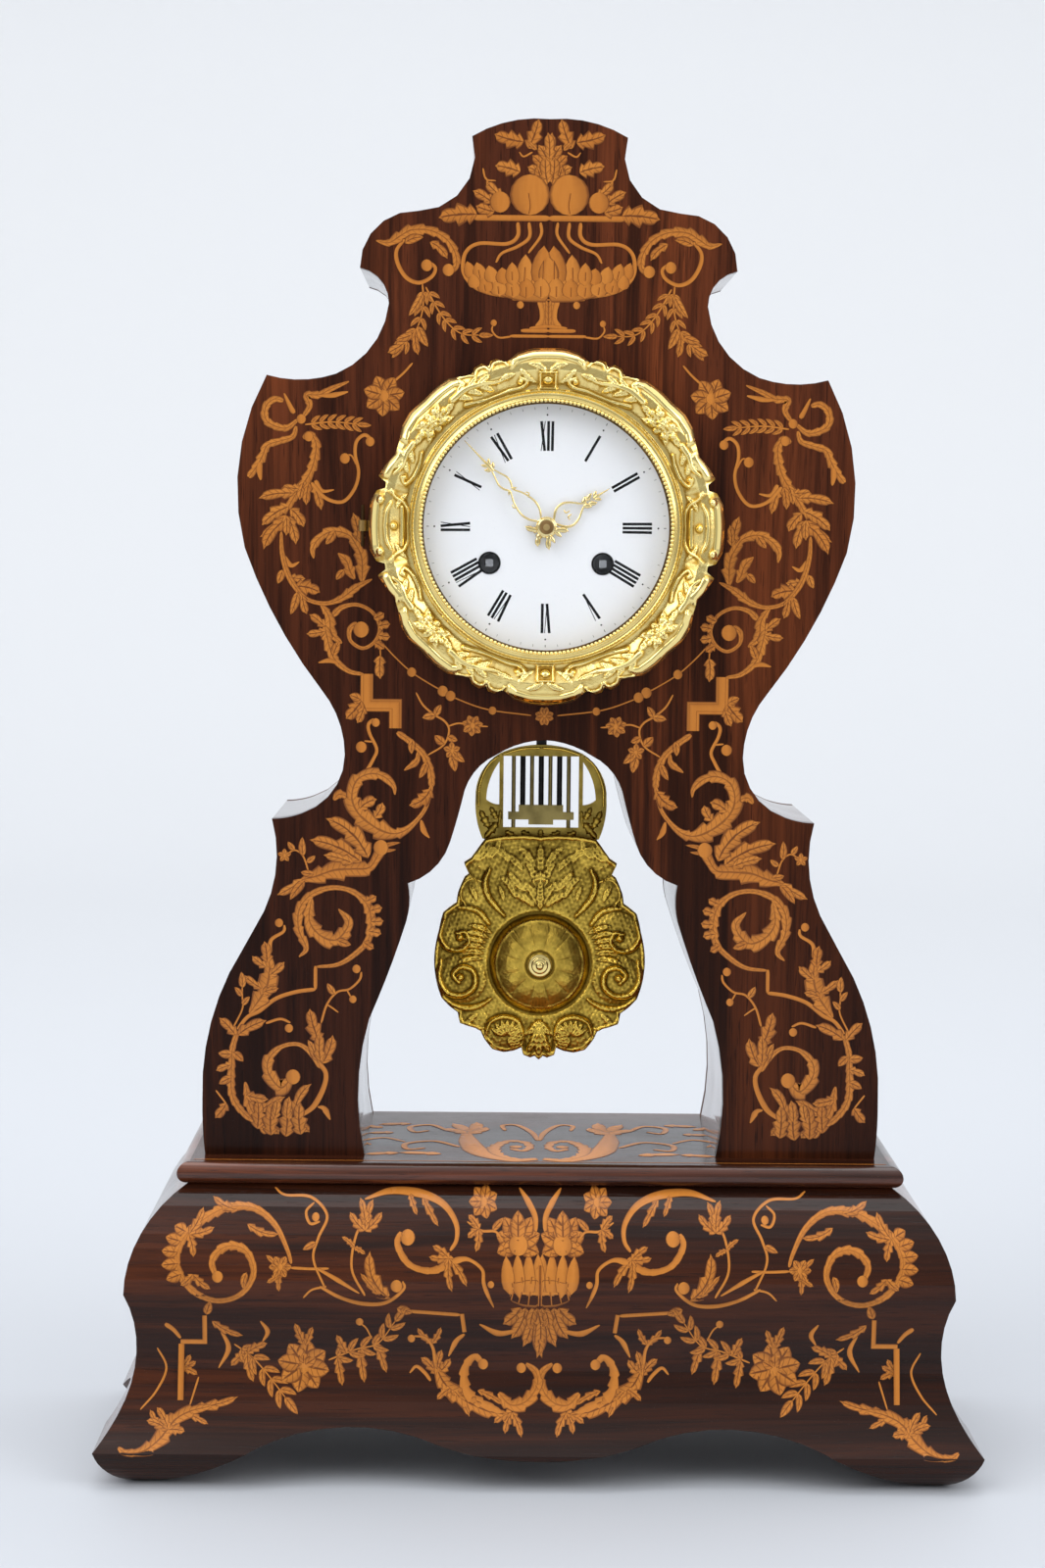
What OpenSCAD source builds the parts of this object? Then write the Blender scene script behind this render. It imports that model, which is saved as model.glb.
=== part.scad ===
/* [Base] */
// Width of the flat shelf between its half-round mouldings
shelf_w = 323; // [310:1:336]
// Depth of the shelf from its front edge to the back of the base
shelf_d = 135; // [134:0.5:138]
// Thickness of the shelf and height of the half-round moulding round it
shelf_t = 10; // [8:0.5:14]
// How far the half-round moulding stands out from the shelf's edge
moulding_out = 5.5; // [5.2:0.1:7]
// Thickness of the ogee boards behind the top edge of the ogee
ogee_back = 10; // [6:1:16]
// Thickness of the plain board that closes the back of the base
base_back_t = 10; // [6:1:14]
// Side of the square glue blocks in the corners of the base
block_w = 25; // [15:1:35]
// Length of the glue blocks
block_h = 90; // [50:1:94]

/* [Case] */
// Depth of the case from its front face to its back face
case_d = 114; // [113:0.5:116]
// Distance from the shelf's front edge back to the case front
case_setback = 17; // [15:0.5:20]
// Thickness of the front and back panels
panel_t = 8; // [6:0.5:10]
// Thickness of the bent walls between the panels
wall_t = 7; // [5:0.5:9]
// Height of the blocks that close the feet of the legs
leg_block_h = 25; // [22:1:34]
// Distance of the case screws from the middle of the clock
screw_x = 119; // [112:1:126]
// Distance between the front and the back screw in each leg
screw_gap = 40; // [30:1:44]

/* [Dial] */
// Height of the dial centre above the shelf
dial_h = 292.5; // [290:0.5:296]
// Radius of the enamel dial
dial_r = 56.4; // [56:0.1:57.2]
// Thickness of the enamel dial
dial_t = 1.2; // [0.9:0.1:1.5]
// Radius of the ring of beads that frames the dial
sight_r = 57.6; // [57.5:0.1:58.5]
// Mean outer radius of the cast bezel
bezel_r = 78.5; // [77:0.5:80]
// How far the bezel's lobes stand in and out
lobe_h = 3; // [1:0.25:4]
// Depth of the cast bezel from the flange to its outer rim
bezel_d = 17.5; // [16:0.5:20]
// Thickness of the glass
glass_t = 1.8; // [1.2:0.1:2.4]
// Thickness of the flange behind the dial
flange_t = 2; // [1.5:0.1:2.5]
// Distance of the winding holes from the middle of the dial
wind_x = 26; // [25.6:0.1:26.4]
// Distance of the winding holes below the middle of the dial
wind_drop = 16.5; // [16:0.1:17]
// Length of the minute hand from its pivot
minute_l = 54.5; // [48:0.5:55]
// Length of the hour hand from its pivot
hour_l = 34; // [28:0.5:38]
// Angle of the minute hand from twelve, clockwise
minute_angle = -44; // [-180:1:180]
// Angle of the hour hand from twelve, clockwise
hour_angle = 58; // [-180:1:180]

/* [Movement] */
// Distance of the front movement plate behind the case front
plate_in = 18.5; // [18:0.5:19]
// Radius of the round movement plates
plate_r = 49; // [48.6:0.1:49.4]
// Thickness of the movement plates
plate_t = 2; // [1.6:0.1:2.4]
// Distance between the movement plates
plate_gap = 42; // [41:0.5:44]
// Radius of the pillars between the plates
pillar_r = 3; // [2.4:0.1:3.4]
// Radius of the train pivots
pivot_r = 0.8; // [0.6:0.05:1]
// Radius of the train arbors
arbor_r = 1.2; // [1.1:0.05:1.5]
// Side of the winding squares
square_w = 3.4; // [3:0.1:3.6]
// Height of the pallet arbor and the suspension above the dial centre
pallet_h = 36; // [35.5:0.1:36.5]
// Radius of the bell
bell_r = 30; // [27:0.5:31]

/* [Pendulum] */
// Length from the bend of the suspension spring to the middle of the bob
pendulum_l = 246.9; // [246:0.1:248]
// Distance of the pendulum's plane behind the case front
pendulum_y = 75; // [73:0.5:77]
// Thickness of the lyre frame
frame_t = 3; // [2:0.25:4]
// Thickness of the cast bob
bob_t = 7; // [5:0.5:9]
// Radius of the round cap on the bob
cap_r = 23.6; // [21:0.2:25]
// Radius of the steel rods of the gridiron
steel_rod_r = 1.3; // [0.9:0.1:1.6]
// Radius of the brass rods of the gridiron
brass_rod_r = 1; // [0.7:0.1:1.3]

/* [Clearances] */
// Running clearance round a pivot, on the radius
run_fit = 0.05; // [0.02:0.01:0.08]
// Gap between fixed pieces that are let into each other
slip_gap = 0.1; // [0.1:0.05:0.3]
// Gap between moving pieces and what they pass
pass_gap = 0.4; // [0.3:0.05:0.6]

/* [Hidden] */
$fn = 64;
wood = "#4a1f16";
softwood = "#b98f5c";
gilt = "#d6a33c";
brass = "#b5913f";
steel = "#6b7078";

// An arc from a to c that passes through b, as n chords, without its last point
function circumcentre(a, b, c) =
    let (k = 2 * (a.x * (b.y - c.y) + b.x * (c.y - a.y) + c.x * (a.y - b.y)))
    [(a * a * (b.y - c.y) + b * b * (c.y - a.y) + c * c * (a.y - b.y)) / k,
     (a * a * (c.x - b.x) + b * b * (a.x - c.x) + c * c * (b.x - a.x)) / k];
function turn(x) = x - 360 * floor(x / 360);
function arc(a, b, c, n) =
    let (o = circumcentre(a, b, c), r = norm(a - o),
         from = atan2(a.y - o.y, a.x - o.x), to = atan2(c.y - o.y, c.x - o.x),
         left = cross(b - a, c - b) > 0, sweep = left ? turn(to - from) : -turn(from - to))
    [for (i = [0 : n - 1]) o + r * [cos(from + sweep * i / n), sin(from + sweep * i / n)]];

// A chain of arcs: end, point on the arc, end, point on the arc, end
function arcs(p, n) =
    concat([for (i = [0 : 2 : len(p) - 3]) each arc(p[i], p[i + 1], p[i + 2], n)], [p[len(p) - 1]]);
function rest(p) = [for (i = [1 : len(p) - 1]) p[i]];
function mirrored(p) = [for (q = p) [-q.x, q.y]];
function flipped_back(p) = [for (i = [len(p) - 1 : -1 : 0]) p[i]];
function flipped(p) = [for (i = [len(p) - 1 : -1 : 0]) [-p[i].x, p[i].y]];

// Half outlines, each from the middle outwards, as points on arcs
case_outer = [
    [0, 478], [20, 476.5], [35.5, 470], [40, 445.5], [60, 436], [79.5, 428], [86.3, 410],
    [77, 404.8], [73, 394], [79.5, 376], [97, 361.8], [112, 359], [128.7, 361], [141.3, 322],
    [138.5, 282], [122, 245.5], [103, 217], [94.6, 202], [92, 187], [97.5, 170], [112, 159.5],
    [119, 157.6], [125.5, 157], [123.2, 139], [129, 114], [137, 99.4], [145, 85], [155.2, 54],
    [157.3, 26], [157.1, 13], [156, 0]
];
case_inner = [
    [0, 194.5], [11.5, 192.5], [22, 187.5], [30.8, 181], [36.5, 171], [40.2, 156.5], [43, 147],
    [50.3, 134.7], [62.5, 127.5], [61.7, 119], [63, 110], [70.4, 88], [80, 64], [85, 30],
    [81.8, 0]
];
apron_front = [
    [0, 14], [23, 15.7], [45, 20.5], [90, 27.5], [130, 18], [152, 7.2], [174, 0]
];
apron_side = [
    [0, 26], [16, 24.5], [30, 20], [46, 8.5], [62, 0]
];
// Profile of the base, as distance out from the shelf's edge and height above the floor
ogee_top = 133;
ogee = [
    [0.8, ogee_top], [21, 111.9], [27.5, 86.5], [22, 60], [29.8, 31.6], [34.4, 24.2], [40.1, 16.7],
    [34, 6.5], [23.5, 0]
];
ogee_out = 40.1;

// Planes of the base and the case along Y, front to back
shelf_z = ogee_top + shelf_t;
base_front_y = -(shelf_d + ogee_out) / 2;
shelf_front_y = base_front_y + ogee_out;
back_y = shelf_front_y + shelf_d;
case_front_y = shelf_front_y + case_setback;
case_back_y = case_front_y + case_d;
inner_front_y = case_front_y + panel_t;
inner_back_y = case_back_y - panel_t;
// Where the bent walls are cut into strips, out from the middle and up from the shelf
leg_split_x = 100;
waist_split_x = 75;
waist_split_z = 100;
body_split_z = 210;
notch_h = case_outer[8].y;
cusp_h = case_inner[8].y;
// Slot for the pendulum in the top of the arch, as half width and half depth
slot_x = 8.5;
slot_y = 5;
dial_z = shelf_z + dial_h;

// Dial, bezel and hands along Y
flange_y = case_front_y - flange_t;
dial_y = flange_y - dial_t;
hour_y = dial_y - 1.7;
minute_y = hour_y - 2;
hand_t = 0.8;
nut_y = minute_y - hand_t;
nut_l = 1.2;
glass_y = nut_y - nut_l - 1;
drum_r = plate_r + 4;
drum_t = 1.5;
hole_r = drum_r + drum_t + 0.5;
flange_in_r = plate_r + 1;
flange_out_r = bezel_r - lobe_h - 1;
hinge_x = bezel_r + lobe_h + 2.6;
hinge_y = flange_y - 3.5;
knuckle_r = 2;
pin_r = 0.8;
knuckle_h = 5;

// Movement planes along Y
front_plate_y = case_front_y + plate_in;
between_y = front_plate_y + plate_t;
drum_end_y = between_y;
back_plate_y = between_y + plate_gap;
behind_y = back_plate_y + plate_t;
swing_y = case_front_y + pendulum_y;
swing_z = dial_z + pallet_h;
bob_z = swing_z - pendulum_l;

// Train wheels, as teeth and pitch radius
barrel_n = 80;
barrel_pr = 19.2;
barrel_pinion_n = 12;
barrel_pinion_pr = barrel_pr * barrel_pinion_n / barrel_n;
second_n = 60;
second_pr = 17;
centre_pinion_n = 12;
centre_pinion_pr = second_pr * centre_pinion_n / second_n;
centre_n = 56;
centre_pr = 15;
third_pinion_n = 8;
third_pinion_pr = centre_pr * third_pinion_n / centre_n;
third_n = 48;
third_pr = 12;
escape_pinion_n = 8;
escape_pinion_pr = third_pr * escape_pinion_n / third_n;
pin_n = 48;
pin_pr = 9;
fly_pinion_n = 8;
fly_pinion_pr = pin_pr * fly_pinion_n / pin_n;
cannon_n = 12;
minute_wheel_n = 36;
minute_pinion_n = 10;
hour_wheel_n = 40;
motion_gap = 16;
cannon_pr = motion_gap * cannon_n / (cannon_n + minute_wheel_n);
minute_wheel_pr = motion_gap - cannon_pr;
minute_pinion_pr = motion_gap * minute_pinion_n / (minute_pinion_n + hour_wheel_n);
hour_wheel_pr = motion_gap - minute_pinion_pr;
wheel_t = 1.2;
pinion_t = 3;

// Where a gear of radius rb meets one at a and, with radius rc, one at b
function meeting(a, ra, b, rb) =
    let (d = norm(b - a), k = (ra * ra - rb * rb + d * d) / (2 * d), h = sqrt(ra * ra - k * k),
         u = (b - a) / d)
    a + k * u + h * [-u.y, u.x];
going_at = [wind_x, -wind_drop];
strike_at = [-wind_x, -wind_drop];
middle = [0, 0];
pallet_at = [0, pallet_h];
escape_at = [0, pallet_h - 14];
second_at = meeting(middle, second_pr + centre_pinion_pr, going_at, barrel_pr + barrel_pinion_pr);
third_at = meeting(middle, centre_pr + third_pinion_pr, escape_at, third_pr + escape_pinion_pr);
pin_out = 38.5;
fly_out = 36.5;
pin_at = meeting(strike_at, barrel_pr + barrel_pinion_pr, middle, pin_out);
fly_at = meeting(pin_at, pin_pr + fly_pinion_pr, middle, fly_out);
minute_at = motion_gap * [cos(60), sin(60)];
hammer_at = [-24, 33];
bell_at = [0, -10];
stand_at = [-16, -38];
click_at = [11, 2];
pillars = [for (a = [45, 135, 259, 281]) (plate_r - 4.5) * [cos(a), sin(a)]];
function away(a, b) = atan2(b.y - a.y, b.x - a.x);

// Gear outline with trapezoid teeth, one of them centred on the angle phase
function gear(n, pr, phase) =
    let (m = 2 * pr / n, pitch = 360 / n)
    [for (i = [0 : n - 1], k = [[-0.28, -1], [-0.11, 0.75], [0.11, 0.75], [0.28, -1]])
        let (a = phase + pitch * (i + k[0])) (pr + k[1] * m) * [cos(a), sin(a)]];
// Ratchet or escape wheel outline, with leaning teeth
function saw(n, tip, root) =
    [for (i = [0 : n - 1], k = [[0, root], [0.1, tip], [0.25, tip]])
        let (a = 360 / n * (i + k[0])) k[1] * [cos(a), sin(a)]];

// A flat shape drawn in X and Z, from the plane y0 back to y1
module slab(y0, y1) {
    translate([0, y1, 0]) rotate([90, 0, 0]) linear_extrude(height = y1 - y0) children();
}
// The same, drawn round a point of the movement
module disc(at, y0, y1) {
    translate([at.x, 0, dial_z + at.y]) slab(y0, y1) children();
}
// A rod along Y at a point of the movement
module rod(at, y0, y1, r) {
    disc(at, y0, y1) circle(r);
}
// A half profile of radius and depth turned round the Y axis, depth towards the back
module turned(at, y0) {
    translate([at.x, y0, dial_z + at.y]) rotate([-90, 0, 0]) rotate_extrude() children();
}
// The same with depth towards the front
module turned_front(at, y0) {
    translate([at.x, y0, dial_z + at.y]) rotate([90, 0, 0]) rotate_extrude() children();
}
module both_sides() {
    children();
    mirror([1, 0, 0]) children();
}

// Plan of one mitred side of the base or its moulding: front strip, or the right side strip
module front_plan(inside, outside) {
    half = shelf_w / 2;
    polygon([[-half - outside, -outside], [half + outside, -outside], [half - inside, inside],
        [-half + inside, inside]]);
}
module side_plan(inside, outside) {
    half = shelf_w / 2;
    polygon([[half + outside, -outside], [half + outside, shelf_d], [half - inside, shelf_d],
        [half - inside, inside]]);
}
module ogee_profile() {
    polygon(concat(arcs(ogee, 8), [[-ogee_back, 0], [-ogee_back, ogee_top]]));
}
module front_length() {
    l = shelf_w + 2 * ogee_out + 2;
    translate([l / 2, shelf_front_y, 0]) rotate([90, 0, -90]) linear_extrude(height = l) children();
}
module side_length() {
    l = shelf_d + 2 * ogee_out;
    translate([shelf_w / 2, back_y, 0]) rotate([90, 0, 0]) linear_extrude(height = l) children();
}
module under_cut(edge) {
    low = -1;
    polygon(concat(flipped(arcs(edge, 8)), rest(arcs(edge, 8)),
        [[edge[len(edge) - 1].x, low], [-edge[len(edge) - 1].x, low]]));
}
module mitred(plan_h) {
    translate([0, shelf_front_y, -1]) linear_extrude(height = plan_h + 2) children();
}

module base_front_board() {
    color(wood) difference() {
        intersection() {
            front_length() ogee_profile();
            mitred(ogee_top) front_plan(ogee_back, ogee_out + 1);
        }
        slab(base_front_y - 1, shelf_front_y + ogee_back + 1) under_cut(apron_front);
    }
}
module side_board() {
    difference() {
        intersection() {
            side_length() ogee_profile();
            mitred(ogee_top) side_plan(ogee_back, ogee_out + 1);
        }
        translate([shelf_w / 2 - ogee_back - 1, 0, 0]) rotate([90, 0, 90])
            linear_extrude(height = ogee_back + ogee_out + 2) under_cut(apron_side);
    }
}
module base_right_board() {
    color(wood) side_board();
}
module base_left_board() {
    color(wood) mirror([1, 0, 0]) side_board();
}
module base_back_board() {
    w = shelf_w - 2 * ogee_back;
    lift = 27;
    color(softwood) translate([-w / 2, back_y - base_back_t, lift]) cube([w, base_back_t, ogee_top - lift]);
}

screw_r = 1.8;
screw_hole_r = screw_r + run_fit;
screw_ys = [for (s = [-0.5, 0.5]) (inner_front_y + inner_back_y) / 2 + s * screw_gap];
module screw_places() {
    for (y = screw_ys, s = [-1, 1]) translate([s * screw_x, y, 0]) children();
}
module base_shelf() {
    color(wood) difference() {
        translate([-shelf_w / 2, shelf_front_y, ogee_top]) cube([shelf_w, shelf_d, shelf_t]);
        screw_places() translate([0, 0, ogee_top - 1]) cylinder(h = shelf_t + 2, r = screw_hole_r);
    }
}
module moulding_profile() {
    r = shelf_t / 2;
    intersection() {
        union() {
            translate([moulding_out - r, ogee_top + r]) circle(r);
            translate([0, ogee_top]) square([max(0.01, moulding_out - r), shelf_t]);
        }
        translate([0, ogee_top]) square([moulding_out, shelf_t]);
    }
}
module shelf_mouldings() {
    color(wood) {
        intersection() {
            front_length() moulding_profile();
            mitred(shelf_z) front_plan(0, moulding_out);
        }
        both_sides() intersection() {
            side_length() moulding_profile();
            mitred(shelf_z) side_plan(0, moulding_out);
        }
    }
}
module glue_blocks() {
    x = shelf_w / 2 - ogee_back - block_w;
    color(softwood) for (y = [shelf_front_y + ogee_back, back_y - base_back_t - block_w])
        both_sides() translate([x, y, ogee_top - block_h]) cube([block_w, block_w, block_h]);
    color(softwood) difference() {
        both_sides() slab(inner_front_y, inner_back_y) intersection() {
            translate([0, shelf_z]) offset(delta = -wall_t) case_shape(2 * wall_t);
            translate([0, shelf_z]) square([shelf_w / 2, leg_block_h]);
        }
        screw_places() translate([0, 0, shelf_z - 1]) cylinder(h = leg_block_h + 2, r = screw_hole_r);
    }
}
module case_screws() {
    head_t = 3;
    length = shelf_t + leg_block_h - 5;
    color(steel) screw_places() {
        translate([0, 0, ogee_top]) cylinder(h = length, r = screw_r);
        translate([0, 0, ogee_top - head_t]) cylinder(h = head_t, r = 2 * screw_r);
    }
}

// The case seen from the front, with its legs made longer by drop
module case_shape(drop = 0) {
    outer = arcs(case_outer, 5);
    inner = arcs(case_inner, 5);
    out_x = outer[len(outer) - 1].x;
    in_x = inner[len(inner) - 1].x;
    feet = drop > 0 ? [[out_x, -drop], [in_x, -drop]] : [];
    right = concat(rest(outer), feet, flipped_back(inner));
    left = concat(rest(mirrored(inner)), mirrored(flipped_back(feet)), flipped(outer));
    polygon(concat(right, left));
}
module panel(y) {
    color(wood) difference() {
        slab(y, y + panel_t) translate([0, shelf_z]) case_shape();
        rod(middle, y - 1, y + panel_t + 1, hole_r);
    }
}
module case_front_panel() {
    panel(case_front_y);
}
module case_back_panel() {
    panel(inner_back_y);
}
// The bent walls follow the outline; each strip is cut out of it by a region
module wall() {
    color(wood) slab(inner_front_y, inner_back_y) translate([0, shelf_z]) intersection() {
        difference() {
            case_shape(2 * wall_t);
            offset(delta = -wall_t) case_shape(2 * wall_t);
        }
        children();
    }
}
module case_right_wall() {
    wall() {
        union() {
            translate([leg_split_x, 0]) square([shelf_w, waist_split_z]);
            translate([waist_split_x, waist_split_z]) square([shelf_w, body_split_z - waist_split_z]);
            translate([0, body_split_z]) square([shelf_w, notch_h - body_split_z]);
        }
    }
}
module case_left_wall() {
    mirror([1, 0, 0]) case_right_wall();
}
module case_crown_wall() {
    wall() translate([-shelf_w / 2, notch_h]) square(shelf_w);
}
module arch_leg_walls() {
    both_sides() wall() {
        union() {
            square([leg_split_x, waist_split_z]);
            translate([0, waist_split_z]) square([waist_split_x, cusp_h - waist_split_z]);
        }
    }
}
module arch_top_wall() {
    top = case_inner[0].y;
    color(wood) difference() {
        wall() translate([-waist_split_x, cusp_h]) square([2 * waist_split_x, top + 2 * wall_t - cusp_h]);
        translate([-slot_x, swing_y - slot_y, shelf_z + top - wall_t])
            cube([2 * slot_x, 2 * slot_y, 3 * wall_t]);
    }
}

knuckle_y = [-knuckle_h * 1.5 - 2 * slip_gap, -knuckle_h / 2, knuckle_h / 2 + 2 * slip_gap];
// Hinge knuckle round a vertical pin; level 1 is the fixed one in the middle
module knuckle(level, r) {
    translate([0, 0, knuckle_y[level]]) difference() {
        cylinder(h = knuckle_h, r = r);
        translate([0, 0, -1]) cylinder(h = knuckle_h + 2, r = pin_r + run_fit);
    }
}
module pin_space(at_x, at_y) {
    translate([at_x, at_y, dial_z - 2 * knuckle_h]) cylinder(h = 4 * knuckle_h, r = pin_r + run_fit);
}
module dial_flange() {
    web = 1.4;
    color(brass) difference() {
        union() {
            turned(middle, flange_y) translate([flange_in_r, 0]) square([flange_out_r - flange_in_r, flange_t]);
            turned(middle, flange_y) translate([drum_r, 0]) square([drum_t, drum_end_y - flange_y]);
            translate([-hinge_x - web / 2, flange_y, dial_z - knuckle_h / 2])
                cube([hinge_x + web - flange_out_r + 2, flange_t, knuckle_h]);
            translate([-hinge_x - web / 2, hinge_y, dial_z - knuckle_h / 2])
                cube([web, flange_y - hinge_y + flange_t, knuckle_h]);
            translate([-hinge_x, hinge_y, dial_z]) knuckle(1, knuckle_r);
        }
        pin_space(-hinge_x, hinge_y);
    }
}
module lobed_ring(inside) {
    difference() {
        polygon([for (i = [0 : 119]) (bezel_r + lobe_h * cos(24 * i)) * [cos(3 * i), sin(3 * i)]]);
        circle(inside);
    }
}
seat_gap = 0.3;
sight_out_r = sight_r + 4.4;
sight_back = 5;
glass_back = flange_y - glass_y;
module bezel_casting() {
    back = seat_gap;
    plate_h = 0.4 * bezel_d;
    land = bezel_r - sight_out_r;
    crest = sight_out_r + 0.576 * land;
    boss_at = sight_out_r + 0.485 * land;
    color(gilt) difference() {
        union() {
            disc(middle, flange_y - plate_h, flange_y - back) lobed_ring(sight_out_r);
            turned_front(middle, flange_y) polygon(concat(
                [[sight_r + 2, back], [sight_r + 2, sight_back - slip_gap],
                 [sight_out_r + slip_gap, sight_back - slip_gap]],
                arcs([[sight_out_r + slip_gap, plate_h + 1],
                    [sight_out_r + 0.273 * land, 0.6 * bezel_d], [crest, bezel_d],
                    [sight_out_r + 0.879 * land, 0.83 * bezel_d], [bezel_r - lobe_h, plate_h]], 8),
                [[bezel_r - lobe_h, back]]));
            for (a = [45, 135, 225, 315])
                translate([boss_at * cos(a), flange_y - plate_h - 3, dial_z + boss_at * sin(a)])
                    sphere(r = 0.424 * land);
            for (k = [0, 2]) {
                translate([-hinge_x, hinge_y, dial_z]) knuckle(k, knuckle_r);
                translate([-hinge_x, hinge_y - 1.2, dial_z + knuckle_y[k]]) cube([6, 2.4, knuckle_h]);
            }
        }
        rod(middle, flange_y - sight_back, flange_y, sight_r + 2);
        rod(middle, flange_y - plate_h - 1, flange_y - sight_back + slip_gap, sight_out_r + slip_gap);
        pin_space(-hinge_x, hinge_y);
    }
}
module sight_ring() {
    lip_h = glass_back + glass_t + 2;
    bead_r = 1;
    beads = 60;
    color(gilt) difference() {
        union() {
            turned_front(middle, flange_y) translate([sight_r, sight_back])
                square([sight_out_r - sight_r, lip_h - sight_back]);
            for (i = [0 : beads - 1])
                translate([0, flange_y - lip_h, dial_z]) rotate([0, 360 / beads * i, 0])
                    translate([sight_r + 1.4, 0, 0]) sphere(r = bead_r, $fn = 16);
        }
        rod(middle, glass_y - glass_t, flange_y, sight_r + 2 + slip_gap);
    }
}
module bezel_glass() {
    color([0.8, 0.9, 0.95, 0.35]) rod(middle, glass_y - glass_t, glass_y, sight_r + 2);
}
module hinge_pins() {
    h = 4 * knuckle_h - 1;
    color(steel) translate([-hinge_x, hinge_y, dial_z - h / 2]) cylinder(h = h, r = pin_r);
    color(steel) translate([rear_hinge_x, rear_hinge_y, dial_z - h / 2]) cylinder(h = h, r = pin_r);
}
wind_hole_r = 5.2;
hour_pipe_r = 3.3;
module dial() {
    color("white") difference() {
        rod(middle, dial_y, flange_y, dial_r);
        rod(middle, dial_y - 1, flange_y + 1, hour_pipe_r + 0.6);
        for (at = [going_at, strike_at]) rod(at, dial_y - 1, flange_y + 1, wind_hole_r);
    }
}
module winding_ferrules() {
    color("black") for (at = [going_at, strike_at])
        turned(at, dial_y - 0.4) translate([wind_hole_r - 1, 0]) square([1 - slip_gap, dial_t + 0.4]);
}
// Pierced hands: the right edge from the hub to the tip, as shares of the hand's length, and the
// right edges of their two holes from bottom to top
minute_edge = [
    [0.03, 0.078], [0.085, 0.145], [0.107, 0.225], [0.085, 0.31], [0.035, 0.39], [0.028, 0.425],
    [0.062, 0.475], [0.067, 0.53], [0.04, 0.605], [0.02, 0.65], [0.052, 0.7], [0.02, 0.74],
    [0.014, 0.9], [0.004, 1]
];
minute_holes = [
    [[0, 0.13], [0.055, 0.165], [0.077, 0.225], [0.058, 0.3], [0, 0.37]],
    [[0, 0.455], [0.036, 0.485], [0.04, 0.53], [0.018, 0.59], [0, 0.62]]
];
hour_edge = [
    [0.05, 0.145], [0.135, 0.22], [0.173, 0.335], [0.14, 0.44], [0.055, 0.53], [0.045, 0.575],
    [0.08, 0.63], [0.075, 0.7], [0.035, 0.745], [0.09, 0.8], [0.035, 0.85], [0.02, 0.93], [0.006, 1]
];
hour_holes = [
    [[0, 0.19], [0.085, 0.235], [0.122, 0.335], [0.09, 0.43], [0, 0.5]],
    [[0, 0.61], [0.04, 0.645], [0.035, 0.695], [0, 0.72]]
];
// Hand drawn upwards from its pivot: the hub's arc, then up the left edge and down the right one
module hand(l, hub_r, bore_r, edge, holes) {
    open = 25;
    steps = 24;
    step = (360 - 2 * open) / steps;
    hub = [for (i = [0 : steps]) hub_r * [sin(open + i * step), cos(open + i * step)]];
    difference() {
        polygon(concat(hub, [for (p = edge) [-p.x, p.y] * l], flipped_back([for (p = edge) p * l])));
        for (hole = holes) polygon(concat([for (p = hole) [-p.x, p.y] * l],
            flipped_back([for (p = hole) if (p.x > 0) p * l])));
        circle(bore_r);
    }
}
module hour_hand() {
    color(gilt) disc(middle, hour_y - hand_t, hour_y)
        rotate(-hour_angle) hand(hour_l, hour_pipe_r + 1.6, hour_pipe_r, hour_edge, hour_holes);
}
cannon_r = 2.4;
centre_r = 1.5;
module minute_hand() {
    color(gilt) disc(middle, minute_y - hand_t, minute_y)
        rotate(-minute_angle) hand(minute_l, cannon_r + 1.8, cannon_r, minute_edge, minute_holes);
}
module hand_nut() {
    color(brass) turned_front(middle, nut_y) translate([centre_r + run_fit, 0]) square([1.6, nut_l]);
}

ring_in_r = 44;
ring_out_r = hole_r + 7;
ring_t = 1.5;
door_t = 1.5;
rear_hinge_x = ring_out_r + 2;
door_y = case_back_y + ring_t + 0.3;
rear_knuckle_r = 1.65;
rear_hinge_y = case_back_y + 0.15 + rear_knuckle_r;
strap_x = plate_r + 0.5;
strap_t = 1.2;
strap_w = 8;
strap_end_y = case_back_y - 9;
strap_screw_x = 47;
strap_screw_r = 1.4;
module strap_screw_places() {
    for (s = [-1, 1]) translate([s * strap_screw_x, 0, dial_z]) rotate([-90, 0, 0]) children();
}
module rear_ring() {
    color(brass) difference() {
        union() {
            turned(middle, case_back_y) translate([ring_in_r, 0]) square([ring_out_r - ring_in_r, ring_t]);
            turned(middle, inner_back_y) translate([drum_r, 0]) square([drum_t, panel_t]);
            translate([rear_hinge_x - 4, case_back_y, dial_z - knuckle_h / 2]) cube([4, ring_t, knuckle_h]);
            translate([rear_hinge_x, rear_hinge_y, dial_z]) knuckle(1, rear_knuckle_r);
        }
        pin_space(rear_hinge_x, rear_hinge_y);
        strap_screw_places() translate([0, 0, case_back_y - 1])
            cylinder(h = ring_t + 2, r = strap_screw_r + run_fit);
    }
}
module rear_door() {
    color(brass) difference() {
        union() {
            rod(middle, door_y, door_y + door_t, ring_out_r - 4);
            rod([-ring_out_r + 12, 0], door_y + door_t - 0.1, back_y, 3);
            for (k = [0, 2]) {
                translate([rear_hinge_x, rear_hinge_y, dial_z]) knuckle(k, rear_knuckle_r);
                translate([ring_out_r - 8, door_y, dial_z + knuckle_y[k]])
                    cube([rear_hinge_x - ring_out_r + 8, door_t - 0.2, knuckle_h]);
            }
        }
        pin_space(rear_hinge_x, rear_hinge_y);
    }
}
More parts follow.
